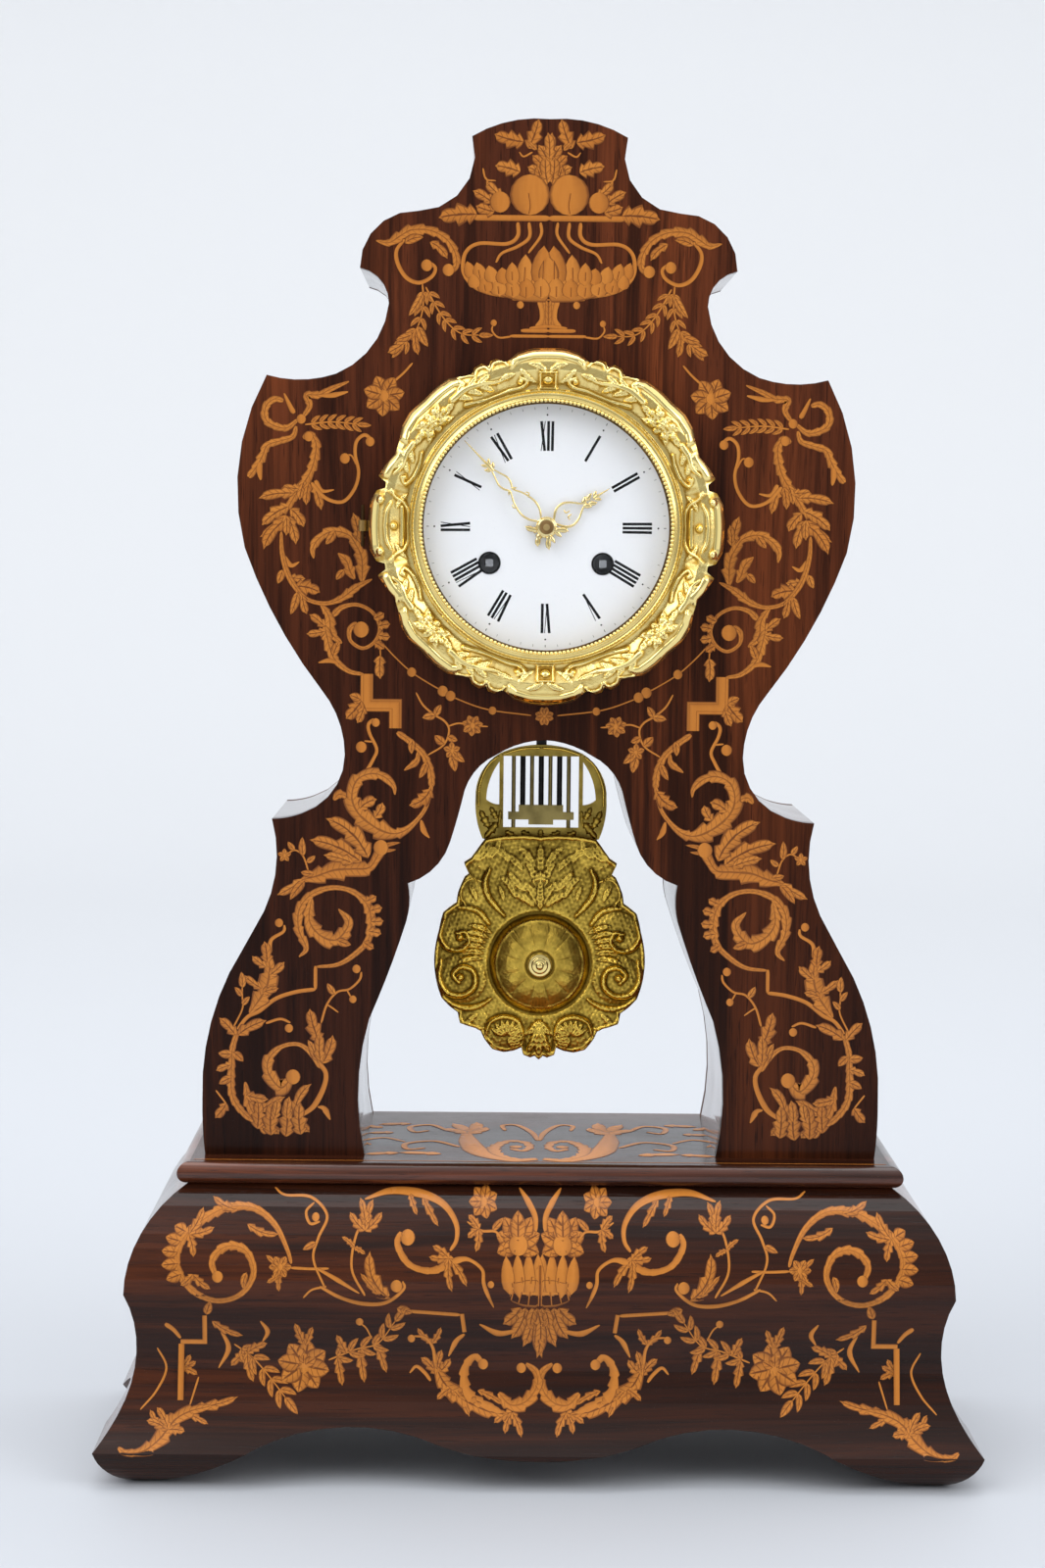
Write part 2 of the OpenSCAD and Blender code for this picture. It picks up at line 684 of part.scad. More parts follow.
module case_straps() {
    color(brass) both_sides() difference() {
        union() {
            translate([strap_x, between_y, dial_z - strap_w / 2])
                cube([strap_t, strap_end_y - between_y, strap_w]);
            for (y = [between_y, strap_end_y - strap_t])
                translate([strap_screw_x - 3, y, dial_z - strap_w / 2])
                    cube([strap_x + strap_t - strap_screw_x + 3, strap_t, strap_w]);
        }
        translate([strap_screw_x, strap_end_y - strap_t - 1, dial_z]) rotate([-90, 0, 0])
            cylinder(h = strap_t + 2, r = strap_screw_r + run_fit);
    }
}
module strap_screws() {
    head_t = 0.2;
    color(steel) strap_screw_places() {
        translate([0, 0, strap_end_y - strap_t - 2])
            cylinder(h = case_back_y + ring_t - strap_end_y + strap_t + 2, r = strap_screw_r);
        translate([0, 0, case_back_y + ring_t]) cylinder(h = head_t, r = 2 * strap_screw_r);
    }
}

// Holes for the train pivots and the winding arbors, in both plates
wind_arbor_r = 2.4;
shake = 0.2;
module plate_holes(y) {
    for (at = [second_at, middle, third_at, escape_at, pallet_at, pin_at, fly_at, hammer_at])
        rod(at, y - 1, y + plate_t + 1, (at == middle ? centre_r : pivot_r) + run_fit);
    for (at = [going_at, strike_at]) rod(at, y - 1, y + plate_t + 1, wind_arbor_r + run_fit);
    for (at = pillars) rod(at, y - 1, y + plate_t + 1, pillar_r / 2 + slip_gap / 2);
}
stud_r = 1.2;
module front_plate() {
    color(brass) union() {
        difference() {
            rod(middle, front_plate_y, between_y, drum_r - slip_gap);
            plate_holes(front_plate_y);
        }
        rod(minute_at, front_plate_y - 10, front_plate_y, stud_r);
        for (s = [-1, 1]) rod([s * (wind_x + click_at.x), click_at.y - wind_drop],
            front_plate_y - 3, front_plate_y, stud_r);
    }
}
module back_plate() {
    color(brass) difference() {
        rod(middle, back_plate_y, behind_y, plate_r);
        plate_holes(back_plate_y);
    }
}
module movement_pillars() {
    color(brass) for (at = pillars) {
        rod(at, between_y, back_plate_y, pillar_r);
        rod(at, front_plate_y, behind_y, pillar_r / 2);
    }
}

// An arbor between the plates, with its pivots; places along it count from the front plate
module arbor(at) {
    rod(at, between_y + shake, back_plate_y - shake, arbor_r);
    rod(at, front_plate_y + shake, behind_y - shake, pivot_r);
}
// A toothed wheel at a place along its arbor, with a tooth or a gap towards a point
module toothed(at, place, t, n, pr, towards, gap = false) {
    disc(at, between_y + place, between_y + place + t)
        polygon(gear(n, pr, away(at, towards) + (gap ? 180 / n : 0)));
}
barrel_place = 2;
barrel_gear_t = 2;
drum_place = barrel_place + barrel_gear_t;
drum_l = 26;
barrel_r = 18;
barrel_wall = 1.2;
module barrel(at, towards) {
    color(brass) difference() {
        union() {
            toothed(at, barrel_place, barrel_gear_t, barrel_n, barrel_pr, towards);
            rod(at, between_y + drum_place, between_y + drum_place + drum_l, barrel_r);
        }
        rod(at, between_y + drum_place, between_y + drum_place + drum_l - barrel_wall,
            barrel_r - barrel_wall);
        rod(at, between_y, back_plate_y, wind_arbor_r + run_fit);
    }
}
module going_barrel() {
    barrel(going_at, second_at);
}
module strike_barrel() {
    barrel(strike_at, pin_at);
}
ratchet_r = 6.5;
module winding_arbor(at) {
    tip_y = hour_y + 0.7;
    square_end = front_plate_y - 8;
    color(steel) union() {
        rod(at, square_end, behind_y + 2, wind_arbor_r);
        disc(at, tip_y, square_end) square(square_w, center = true);
        disc(at, front_plate_y - 2.2, front_plate_y - 0.6) polygon(saw(16, ratchet_r, ratchet_r - 1.1));
    }
}
module going_arbor() {
    winding_arbor(going_at);
}
module strike_arbor() {
    mirror([1, 0, 0]) winding_arbor(going_at);
}
module click() {
    tip = going_at + (ratchet_r + 0.75) * [cos(50), sin(50)];
    root = going_at + click_at;
    color(steel) disc(middle, front_plate_y - 2.2, front_plate_y - 0.6) difference() {
        union() {
            translate(root) circle(2.6);
            polygon([tip, tip + [1.2, -1], root - [1, 2.2], root + [1, 2.2], tip + [1, 1.6]]);
        }
        translate(root) circle(stud_r + run_fit);
    }
}
module going_click() {
    click();
}
module strike_click() {
    mirror([1, 0, 0]) click();
}
second_place = 32;
centre_place = 36;
third_place = 20;
escape_place = 26;
pinion_over = (pinion_t - wheel_t) / 2;
module second_wheel() {
    color(brass) {
        arbor(second_at);
        toothed(second_at, barrel_place - (pinion_t - barrel_gear_t) / 2, pinion_t, barrel_pinion_n,
            barrel_pinion_pr, going_at, true);
        toothed(second_at, second_place, wheel_t, second_n, second_pr, middle);
    }
}
module centre_wheel() {
    color(brass) {
        rod(middle, between_y + shake, back_plate_y - shake, centre_r + 0.5);
        rod(middle, nut_y - nut_l - 0.5, behind_y - shake, centre_r);
        toothed(middle, second_place - pinion_over, pinion_t, centre_pinion_n, centre_pinion_pr,
            second_at, true);
        toothed(middle, centre_place, wheel_t, centre_n, centre_pr, third_at);
    }
}
module third_wheel() {
    color(brass) {
        arbor(third_at);
        toothed(third_at, centre_place - pinion_over, pinion_t, third_pinion_n, third_pinion_pr,
            middle, true);
        toothed(third_at, third_place, wheel_t, third_n, third_pr, escape_at);
    }
}
escape_r = 9;
module escape_wheel() {
    color(brass) {
        arbor(escape_at);
        toothed(escape_at, third_place - pinion_over, pinion_t, escape_pinion_n, escape_pinion_pr,
            third_at, true);
        disc(escape_at, between_y + escape_place, between_y + escape_place + wheel_t)
            polygon(saw(36, escape_r, escape_r - 1.3));
    }
}
fork_y = 2.5;
hanger_w = 5;
module pallet_anchor() {
    pallet = [escape_r + 1.6, -(pallet_h - escape_at.y) + 2];
    crutch_y = behind_y + 4;
    crutch_end = 30;
    prong = 1.2;
    prong_x = hanger_w / 2 + pass_gap;
    color(steel) {
        arbor(pallet_at);
        rod(pallet_at, behind_y - shake, crutch_y + 1.2, pivot_r);
        disc(pallet_at, between_y + escape_place - 0.4, between_y + escape_place + wheel_t + 0.4)
            for (s = [-1, 1]) polygon([[0, 2], [s * 4, 1], [s * (pallet.x + 1), pallet.y + 4],
                [s * (pallet.x + 1), pallet.y], [s * pallet.x, pallet.y - 1],
                [s * (pallet.x - 1), pallet.y + 4], [s * 2, -1], [0, -1.4]]);
        disc(pallet_at, crutch_y, crutch_y + 1.2) {
            circle(2);
            translate([-0.8, -crutch_end]) square([1.6, crutch_end]);
            translate([-prong_x - prong, -crutch_end - 2]) square([2 * (prong_x + prong), 2.4]);
        }
        for (x = [-prong_x - prong, prong_x])
            translate([x, crutch_y, dial_z + pallet_h - crutch_end - 2])
                cube([prong, swing_y + fork_y - crutch_y, 2.4]);
    }
}
module pin_wheel() {
    pins = 8;
    color(brass) {
        arbor(pin_at);
        toothed(pin_at, barrel_place - (pinion_t - barrel_gear_t) / 2, pinion_t, barrel_pinion_n,
            barrel_pinion_pr, strike_at, true);
        toothed(pin_at, second_place, wheel_t, pin_n, pin_pr, fly_at);
        for (i = [1 : pins]) rod(pin_at + (pin_pr - 2) * [cos(360 / pins * i), sin(360 / pins * i)],
            between_y + second_place + wheel_t - 0.2, between_y + second_place + wheel_t + 2, 0.6);
    }
}
module fly() {
    vane_w = 14;
    vane_l = 18;
    color(brass) {
        arbor(fly_at);
        toothed(fly_at, second_place - pinion_over, pinion_t, fly_pinion_n, fly_pinion_pr, pin_at, true);
        disc(fly_at, between_y + drum_place + 6, between_y + drum_place + 6 + vane_l)
            square([vane_w, 0.8], center = true);
    }
}
cannon_place = 5;
module cannon_pinion() {
    color(steel) difference() {
        union() {
            rod(middle, minute_y - hand_t, front_plate_y - 0.5, cannon_r);
            disc(middle, front_plate_y - cannon_place, front_plate_y - cannon_place + pinion_t)
                polygon(gear(cannon_n, cannon_pr, away(middle, minute_at)));
        }
        rod(middle, minute_y - 2, front_plate_y, centre_r + run_fit);
    }
}
module minute_wheel() {
    place = cannon_place - pinion_over;
    color(brass) difference() {
        union() {
            disc(minute_at, front_plate_y - place, front_plate_y - place + wheel_t)
                polygon(gear(minute_wheel_n, minute_wheel_pr,
                    away(minute_at, middle) + 180 / minute_wheel_n));
            disc(minute_at, front_plate_y - place - pinion_t - 2, front_plate_y - place)
                polygon(gear(minute_pinion_n, minute_pinion_pr, away(minute_at, middle)));
        }
        rod(minute_at, front_plate_y - place - pinion_t - 3, front_plate_y, stud_r + run_fit);
    }
}
module hour_wheel() {
    place = cannon_place + wheel_t + 1.2;
    color(brass) difference() {
        union() {
            disc(middle, front_plate_y - place, front_plate_y - place + wheel_t)
                polygon(gear(hour_wheel_n, hour_wheel_pr, away(middle, minute_at) + 180 / hour_wheel_n));
            rod(middle, hour_y - hand_t, front_plate_y - place, hour_pipe_r);
        }
        rod(middle, hour_y - 2, front_plate_y, cannon_r + run_fit);
    }
}

spring_t = 0.3;
spring_w = 6;
spring_block = [8, 3, 5];
module suspension_cock() {
    cheek_x = spring_block.x / 2 + pass_gap;
    cheek_w = 3;
    low = 3;
    high = 9.4;
    bar = 3.5;
    color(brass) translate([0, behind_y, swing_z]) {
        for (s = [-1, 1]) translate([s * (cheek_x + cheek_w / 2) - cheek_w / 2, 0, low])
            cube([cheek_w, swing_y + 3 - behind_y, high - low]);
        translate([-cheek_x - cheek_w, 0, high]) cube([2 * (cheek_x + cheek_w), swing_y + 3 - behind_y, bar]);
    }
}
module suspension_spring() {
    drop = 16;
    color(steel) {
        translate([-spring_w / 2, swing_y - spring_t / 2, swing_z - drop])
            cube([spring_w, spring_t, drop + 4]);
        translate([0, swing_y, swing_z + 6]) cube(spring_block, center = true);
        translate([0, swing_y, swing_z - drop]) cube(spring_block, center = true);
    }
}
module hammer() {
    arm_y = bell_y + 4.5;
    head = [-11.5, -37];
    tail_gap = 4.4;
    tail_l = norm(pin_at - hammer_at) - pin_pr - tail_gap;
    color(steel) {
        arbor(hammer_at);
        rod(hammer_at, behind_y - shake, arm_y + 2, pivot_r);
        disc(hammer_at, arm_y, arm_y + 2) {
            circle(2.2);
            translate(head) circle(3);
            rotate(away([0, 0], head)) translate([0, -1]) square([norm(head), 2]);
        }
        disc(hammer_at, between_y + second_place + wheel_t + 0.8, between_y + second_place + wheel_t + 1.8)
            rotate(away([0, 0], pin_at - hammer_at)) translate([0, -1]) square([tail_l, 2]);
    }
}
bell_t = 1.6;
bell_y = behind_y + 19.5;
bell_h = 17.5;
module bell() {
    crown = 4;
    color(brass) turned(bell_at, bell_y) polygon(concat(
        arcs([[bell_r, 0], [bell_r * 0.86, bell_h * 0.66], [crown, bell_h]], 12),
        [[slip_gap + centre_r, bell_h], [slip_gap + centre_r, bell_h - bell_t]],
        flipped_back(arcs([[bell_r - bell_t, 0], [(bell_r - bell_t) * 0.86, (bell_h - bell_t) * 0.66],
            [crown, bell_h - bell_t]], 12))));
}
module bell_stand() {
    bar_y = behind_y + 15.5;
    bar_t = 2;
    color(brass) {
        rod(stand_at, behind_y, bar_y + bar_t, 2.5);
        disc(stand_at, bar_y, bar_y + bar_t)
            rotate(away(stand_at, bell_at)) translate([0, -2]) square([norm(bell_at - stand_at), 4]);
        rod(bell_at, bar_y, bell_y + bell_h - bell_t, 3);
        rod(bell_at, bar_y, bell_y + bell_h + 2, centre_r);
        rod(bell_at, bell_y + bell_h, bell_y + bell_h + 1.8, 3.5);
    }
}

// Outlines of the pendulum, from the middle of the bob
lyre = [
    [0, 106.3], [10.5, 105.2], [20, 102], [28.5, 93.5], [31.8, 80], [31, 69], [28.3, 60.5],
    [21, 58], [13, 50]
];
lyre_tail = -20;
lyre_hole = [
    [20.3, 98], [24.6, 90], [26.6, 79.5], [23.5, 77.6], [20.3, 77]
];
window = [18.3, 66, 100.8];
bob = [
    [0, 62], [14, 62.5], [27, 60.5], [31, 55], [37.2, 49], [33, 45.8], [28.6, 44], [36.6, 42.4],
    [40, 34], [40.2, 30.5], [40.5, 28.5], [47, 24.5], [49, 16], [50.2, 11], [51.3, 1], [50.4, -7],
    [47.5, -17], [43.2, -22], [39.6, -24], [38.4, -29.4], [31, -31.6], [28.4, -33], [26.5, -37],
    [22.5, -42], [17, -43.4], [12, -42.6], [8.4, -41], [7.6, -44.8], [4, -46], [2, -44.9], [0, -47]
];
frame_y = swing_y - frame_t / 2;
bob_y = frame_y - bob_t;
module pendulum_frame() {
    tail_x = lyre[len(lyre) - 1].x;
    color(gilt) translate([0, 0, bob_z]) slab(frame_y, frame_y + frame_t) difference() {
        polygon(concat(flipped(arcs(lyre, 8)), rest(arcs(lyre, 8)),
            [[tail_x, lyre_tail], [-tail_x, lyre_tail]]));
        translate([-window[0], window[1]]) square([2 * window[0], window[2] - window[1]]);
        for (s = [0, 1]) mirror([s, 0]) polygon(arcs(lyre_hole, 8));
    }
}
module pendulum_bob() {
    color(gilt) translate([0, 0, bob_z]) slab(bob_y, frame_y)
        polygon(concat(flipped(arcs(bob, 6)), rest(arcs(bob, 6))));
}
module bob_cap() {
    edge = 3;
    rise = 5;
    color(gilt) translate([0, bob_y, bob_z]) rotate([90, 0, 0]) rotate_extrude() union() {
        polygon(concat([[0, 0]], arcs([[cap_r, 0], [cap_r - 0.6, edge - 0.8], [cap_r - 2.4, edge]], 5),
            arcs([[cap_r - 2.4, edge], [cap_r * 0.55, rise - 0.6], [0, rise]], 8)));
        square([5.5, rise + 1]);
        square([2.2, rise + 2]);
    }
}
bar_top = 77;
bar_step = 73.6;
bar_low = 69.9;
rod_gap = 4.45;
module pendulum_brass_rods() {
    color(brass) translate([0, swing_y, bob_z]) for (s = [-1, 1]) {
        translate([s * rod_gap, 0, bar_top]) cylinder(h = window[2] - bar_top, r = brass_rod_r);
        translate([s * 3 * rod_gap, 0, window[1]])
            cylinder(h = window[2] - window[1], r = brass_rod_r);
    }
}
module pendulum_steel_rods() {
    color(steel) translate([0, swing_y, bob_z]) for (k = [-2, 0, 2])
        translate([k * rod_gap, 0, bar_top]) cylinder(h = window[2] - bar_top, r = steel_rod_r);
}
module pendulum_crossbar() {
    upper = 2 * rod_gap + steel_rod_r + 0.6;
    lower = 3 * rod_gap + brass_rod_r + 1.6;
    color(brass) difference() {
        translate([0, 0, bob_z]) slab(frame_y + 0.1, frame_y + frame_t - 0.1) {
            translate([-upper, bar_step]) square([2 * upper, bar_top - bar_step]);
            translate([-lower, bar_low]) square([2 * lower, bar_step - bar_low]);
            translate([-6, bar_low - 2.4]) square([12, 2.4]);
        }
        for (s = [-1, 1]) translate([s * 3 * rod_gap, swing_y, bob_z + bar_low - 1])
            cylinder(h = bar_top - bar_low + 2, r = brass_rod_r + run_fit);
    }
}
module pendulum_hanger() {
    foot = bob_z + lyre[0].y;
    top = swing_z - 16 - spring_block.z / 2;
    color(steel) translate([-hanger_w / 2, swing_y - 0.8, foot]) cube([hanger_w, 1.6, top - foot]);
}

base_front_board();
base_left_board();
base_right_board();
base_back_board();
base_shelf();
shelf_mouldings();
glue_blocks();
case_screws();
case_front_panel();
case_back_panel();
case_left_wall();
case_right_wall();
case_crown_wall();
arch_leg_walls();
arch_top_wall();
dial_flange();
bezel_casting();
sight_ring();
bezel_glass();
hinge_pins();
dial();
winding_ferrules();
hour_hand();
minute_hand();
hand_nut();
rear_ring();
rear_door();
case_straps();
strap_screws();
front_plate();
back_plate();
movement_pillars();
going_barrel();
going_arbor();
going_click();
second_wheel();
centre_wheel();
third_wheel();
escape_wheel();
pallet_anchor();
strike_barrel();
strike_arbor();
strike_click();
pin_wheel();
fly();
cannon_pinion();
minute_wheel();
hour_wheel();
suspension_cock();
suspension_spring();
hammer();
bell_stand();
bell();
pendulum_hanger();
pendulum_frame();
pendulum_brass_rods();
pendulum_steel_rods();
pendulum_crossbar();
pendulum_bob();
bob_cap();
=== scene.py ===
"""Portico clock: inlaid case, cast gilt bezel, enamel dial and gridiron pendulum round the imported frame."""

import math

import bpy
import numpy as np
from bpy.props import FloatProperty, FloatVectorProperty, IntProperty, PointerProperty
from mathutils import Matrix, Vector
from mathutils.bvhtree import BVHTree


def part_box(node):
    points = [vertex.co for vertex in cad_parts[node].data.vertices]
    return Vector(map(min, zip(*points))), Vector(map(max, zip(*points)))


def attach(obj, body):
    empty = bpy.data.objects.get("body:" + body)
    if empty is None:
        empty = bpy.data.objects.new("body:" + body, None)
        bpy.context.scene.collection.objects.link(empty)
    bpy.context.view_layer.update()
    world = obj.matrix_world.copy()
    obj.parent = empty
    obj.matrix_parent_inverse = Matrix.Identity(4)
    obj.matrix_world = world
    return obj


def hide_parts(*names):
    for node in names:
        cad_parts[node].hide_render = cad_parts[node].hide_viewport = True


bl_info = {
    "name": "Portico clock",
    "version": (1, 0, 0),
    "blender": (4, 5, 0),
    "location": "View3D > Sidebar > Clock",
    "description": "Builds the visible surfaces of an inlaid portico clock round its CAD frame",
    "category": "Object",
}

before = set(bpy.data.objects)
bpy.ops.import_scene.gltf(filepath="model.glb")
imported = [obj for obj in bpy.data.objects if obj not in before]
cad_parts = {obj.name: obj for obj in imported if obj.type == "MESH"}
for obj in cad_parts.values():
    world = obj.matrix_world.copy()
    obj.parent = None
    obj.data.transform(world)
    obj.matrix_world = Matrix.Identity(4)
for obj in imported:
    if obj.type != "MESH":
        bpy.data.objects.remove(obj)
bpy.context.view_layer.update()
MM = 0.001


def mid(node):
    low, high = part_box(node)
    return (low + high) / 2


SHELF_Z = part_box("shelf_mouldings")[1].z / MM
CASE_FRONT_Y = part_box("case_front_panel")[0].y / MM
DIAL_Z = mid("dial").z / MM
FLANGE_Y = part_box("dial")[1].y / MM
DIAL_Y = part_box("dial")[0].y / MM
BOB_Z = mid("bob_cap").z / MM
FRAME_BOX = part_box("pendulum_frame")
BOB_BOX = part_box("pendulum_bob")


# Properties


def tint(name, words, value):
    return FloatVectorProperty(
        name=name, description=words, default=value, subtype="COLOR", size=3, min=0, max=1
    )


def length(name, words, value):
    return FloatProperty(name=name, description=words, default=value * MM, unit="LENGTH", precision=4)


class WoodLook(bpy.types.PropertyGroup):
    dark: tint("Dark streaks", "Nearly black streaks of the rosewood", (0.0095, 0.0036, 0.0024))
    middle: tint("Ground", "Main brown of the rosewood", (0.066, 0.0175, 0.0075))
    light: tint("Red streaks", "Reddish streaks of the rosewood", (0.180, 0.044, 0.0135))
    pine: tint("Softwood", "Stained softwood of the back and the blocks", (0.30, 0.165, 0.075))
    stained: tint("Back panel", "Dark stained softwood of the back of the case", (0.11, 0.045, 0.02))
    polish: FloatProperty(
        name="Polish roughness", description="Roughness of the French polish", default=0.16, min=0, max=1
    )


class InlayLook(bpy.types.PropertyGroup):
    honey: tint("Honey", "Main colour of the inlaid wood", (0.42, 0.132, 0.018))
    pale: tint("Pale", "Lightest inlaid wood", (0.58, 0.215, 0.036))
    burnt: tint("Sand shading", "Colour of the scorched edges and engraved lines", (0.085, 0.020, 0.008))
    proud: length("Proud", "How far the inlay stands over the veneer", 0.10)


class GiltLook(bpy.types.PropertyGroup):
    bright: tint("Bright gilding", "Colour of the polished bezel", (1.0, 0.80, 0.31))
    deep: tint("Deep gilding", "Colour in the hollows of the bezel", (0.50, 0.28, 0.038))
    aged: tint("Aged gilding", "Colour of the pendulum's high places", (0.92, 0.62, 0.10))
    tarnish: tint("Tarnish", "Colour in the hollows of the pendulum", (0.21, 0.13, 0.018))
    brass: tint("Brass", "Colour of the movement's brass", (0.72, 0.52, 0.22))


class DialSizes(bpy.types.PropertyGroup):
    inner: length("Numeral foot", "Distance of the numerals' feet from the centre", 35.0)
    outer: length("Numeral head", "Distance of the numerals' heads from the centre", 48.5)
    dot_r: length("Hour dot circle", "Distance of the hour dots from the centre", 51.4)
    stroke: length("Thick stroke", "Width of a numeral's thick stroke", 1.25)
    hair: length("Thin stroke", "Width of a numeral's thin stroke", 0.35)


class BezelSizes(bpy.types.PropertyGroup):
    steps_round: IntProperty(name="Steps round", description="Mesh steps round the bezel", default=1080)
    steps_across: IntProperty(name="Steps across", description="Mesh steps across the bezel", default=78)
    beads: IntProperty(name="Beads", description="Beads in the ring round the dial", default=190)
    bead_r: length("Bead radius", "Radius of one bead", 0.88)
    matting: length("Matting", "Depth of the punched ground", 0.10)
    relief: FloatProperty(
        name="Relief", description="Share of the drawn height of the ornament", default=0.75, min=0, max=1
    )


class StageSizes(bpy.types.PropertyGroup):
    lens: FloatProperty(name="Lens", description="Focal length in mm on a 36 mm long side", default=73.9)
    # The floor colour is the painted shade end of the sweep's gradient; the backdrop colour is its pale far
    # end
    floor: tint("Floor", "Colour of the floor", (0.505, 0.525, 0.56))
    wall: tint("Backdrop", "Colour of the backdrop high above the case", (0.97, 0.975, 0.985))
    key: FloatProperty(name="Key light", description="Power of the large soft light in watts", default=26.0)


# Shader helpers


class Graph:
    """A node tree with short ways to add and join nodes."""

    def __init__(self, tree):
        self.tree = tree

    def put(self, socket, value):
        if isinstance(value, bpy.types.NodeSocket):
            self.tree.links.new(value, socket)
        elif isinstance(value, (tuple, list)) and socket.type == "RGBA" and len(value) == 3:
            socket.default_value = (*value, 1.0)
        else:
            socket.default_value = value

    def add(self, kind, out=0, props=(), **inputs):
        node = self.tree.nodes.new(kind)
        for name, value in dict(props).items():
            setattr(node, name, value)
        for name, value in inputs.items():
            key = int(name[1:]) if name[1:].isdigit() else name.replace("_", " ")
            self.put(node.inputs[key], value)
        return node.outputs[out]

    def sum(self, kind, a, b=0.0, c=0.0, clamp=False):
        return self.add("ShaderNodeMath", props={"operation": kind, "use_clamp": clamp}, i0=a, i1=b, i2=c)

    def mix(self, part, a, b, blend="MIX"):
        return self.add("ShaderNodeMix", 2, {"data_type": "RGBA", "blend_type": blend}, i0=part, i6=a, i7=b)

    def noise(self, where, scale, detail=4.0, rough=0.55, wave=0.0):
        return self.add("ShaderNodeTexNoise", Vector=where, Scale=scale, Detail=detail, Roughness=rough,
                        Distortion=wave)

    def band(self, value, low, high, to_low=0.0, to_high=1.0):
        return self.add("ShaderNodeMapRange", props={"interpolation_type": "SMOOTHSTEP"},
                        i0=value, i1=low, i2=high, i3=to_low, i4=to_high)

    def mapped(self, where, scale=(1, 1, 1), turn=(0, 0, 0)):
        return self.add("ShaderNodeMapping", Vector=where, Scale=scale, Rotation=turn)

    def split(self, value, kind="XYZ"):
        """The three parts of a vector, or of a colour."""
        node = self.tree.nodes.new("ShaderNodeSeparate" + kind)
        self.put(node.inputs[0], value)
        return list(node.outputs)

    def channels(self, name):
        """The three channels of a colour attribute."""
        return self.split(self.add("ShaderNodeAttribute", props={"attribute_name": name}), "Color")

    def bump(self, height, strength, distance):
        return self.add("ShaderNodeBump", Height=height, Strength=strength, Distance=distance)


SOCKETS = {"V": "NodeSocketVector", "C": "NodeSocketColor", "F": "NodeSocketFloat"}


def group(name, inputs, outputs, build):
    """A shader node group; build gets its graph and input sockets, and returns its outputs by name."""
    tree = bpy.data.node_groups.new(name, "ShaderNodeTree")
    for label, kind in outputs:
        tree.interface.new_socket(label, in_out="OUTPUT", socket_type=SOCKETS[kind])
    for label, kind, value in inputs:
        socket = tree.interface.new_socket(label, in_out="INPUT", socket_type=SOCKETS[kind])
        if value is not None:
            socket.default_value = value
    graph = Graph(tree)
    entry = tree.nodes.new("NodeGroupInput")
    leave = tree.nodes.new("NodeGroupOutput")
    made = build(graph, {s.name: s for s in entry.outputs if s.name})
    for label, value in made.items():
        graph.put(leave.inputs[label], value)
    return tree


def use(graph, tree, **inputs):
    node = graph.tree.nodes.new("ShaderNodeGroup")
    node.node_tree = tree
    for name, value in inputs.items():
        graph.put(node.inputs[name.replace("_", " ")], value)
    return node.outputs


GREY = (0.5, 0.5, 0.5, 1.0)


def veneer_group():
    """Streaked rosewood figure along Z of its vector, with pores and fine lines."""

    def build(g, i):
        where = i["Vector"]
        bend = g.noise(g.mapped(where, (1, 1, 0.25)), 9.0, 2.0)
        warp = g.add("ShaderNodeVectorMath", props={"operation": "MULTIPLY_ADD"}, i0=bend,
                     i1=(0.020, 0.020, 0.0), i2=where)
        broad = g.noise(g.mapped(warp, (1, 1, 0.05)), 34.0, 3.0, 0.6)
        lines = g.noise(g.mapped(warp, (1, 1, 0.022)), 300.0, 4.0, 0.7)
        red = g.noise(g.mapped(warp, (1, 1, 0.10)), 14.0, 2.0, 0.5)
        pores = g.noise(g.mapped(where, (1, 1, 0.05)), 1500.0, 1.0, 0.5)
        pore = g.band(pores, 0.62, 0.74)
        ground = g.mix(g.band(red, 0.40, 0.64), i["Ground"], i["Red"])
        ground = g.mix(g.sum("MULTIPLY", g.band(lines, 0.35, 0.70), 0.55), ground, i["Dark"])
        streak = g.band(g.sum("MULTIPLY_ADD", lines, 0.25, broad), 0.58, 0.76)
        ground = g.mix(g.sum("MULTIPLY", streak, 0.75), ground, i["Dark"])
        return {
            "Color": g.mix(g.sum("MULTIPLY", pore, 0.6), ground, i["Dark"]),
            "Height": g.sum("SUBTRACT", g.sum("MULTIPLY", lines, 0.3), pore),
        }

    return group(
        "Rosewood figure",
        [("Vector", "V", None), ("Dark", "C", GREY), ("Ground", "C", GREY), ("Red", "C", GREY)],
        [("Color", "C"), ("Height", "F")],
        build,
    )


def handling_group():
    """Uneven polish: faint cloudiness and fine dust, as a change to roughness and a pale film."""

    def build(g, i):
        cloud = g.noise(i["Vector"], i["Scale"], 5.0, 0.6)
        speck = g.band(g.noise(i["Vector"], 1900.0, 1.0), 0.70, 0.80)
        rough = g.sum("MULTIPLY_ADD", g.band(cloud, 0.35, 0.75), i["Amount"], i["Roughness"])
        return {
            "Roughness": g.sum("MULTIPLY_ADD", speck, 0.12, rough, True),
            "Film": g.sum("MULTIPLY", speck, i["Amount"]),
        }

    return group(
        "Handling",
        [("Vector", "V", None), ("Scale", "F", 30.0), ("Roughness", "F", 0.3), ("Amount", "F", 0.1)],
        [("Roughness", "F"), ("Film", "F")],
        build,
    )


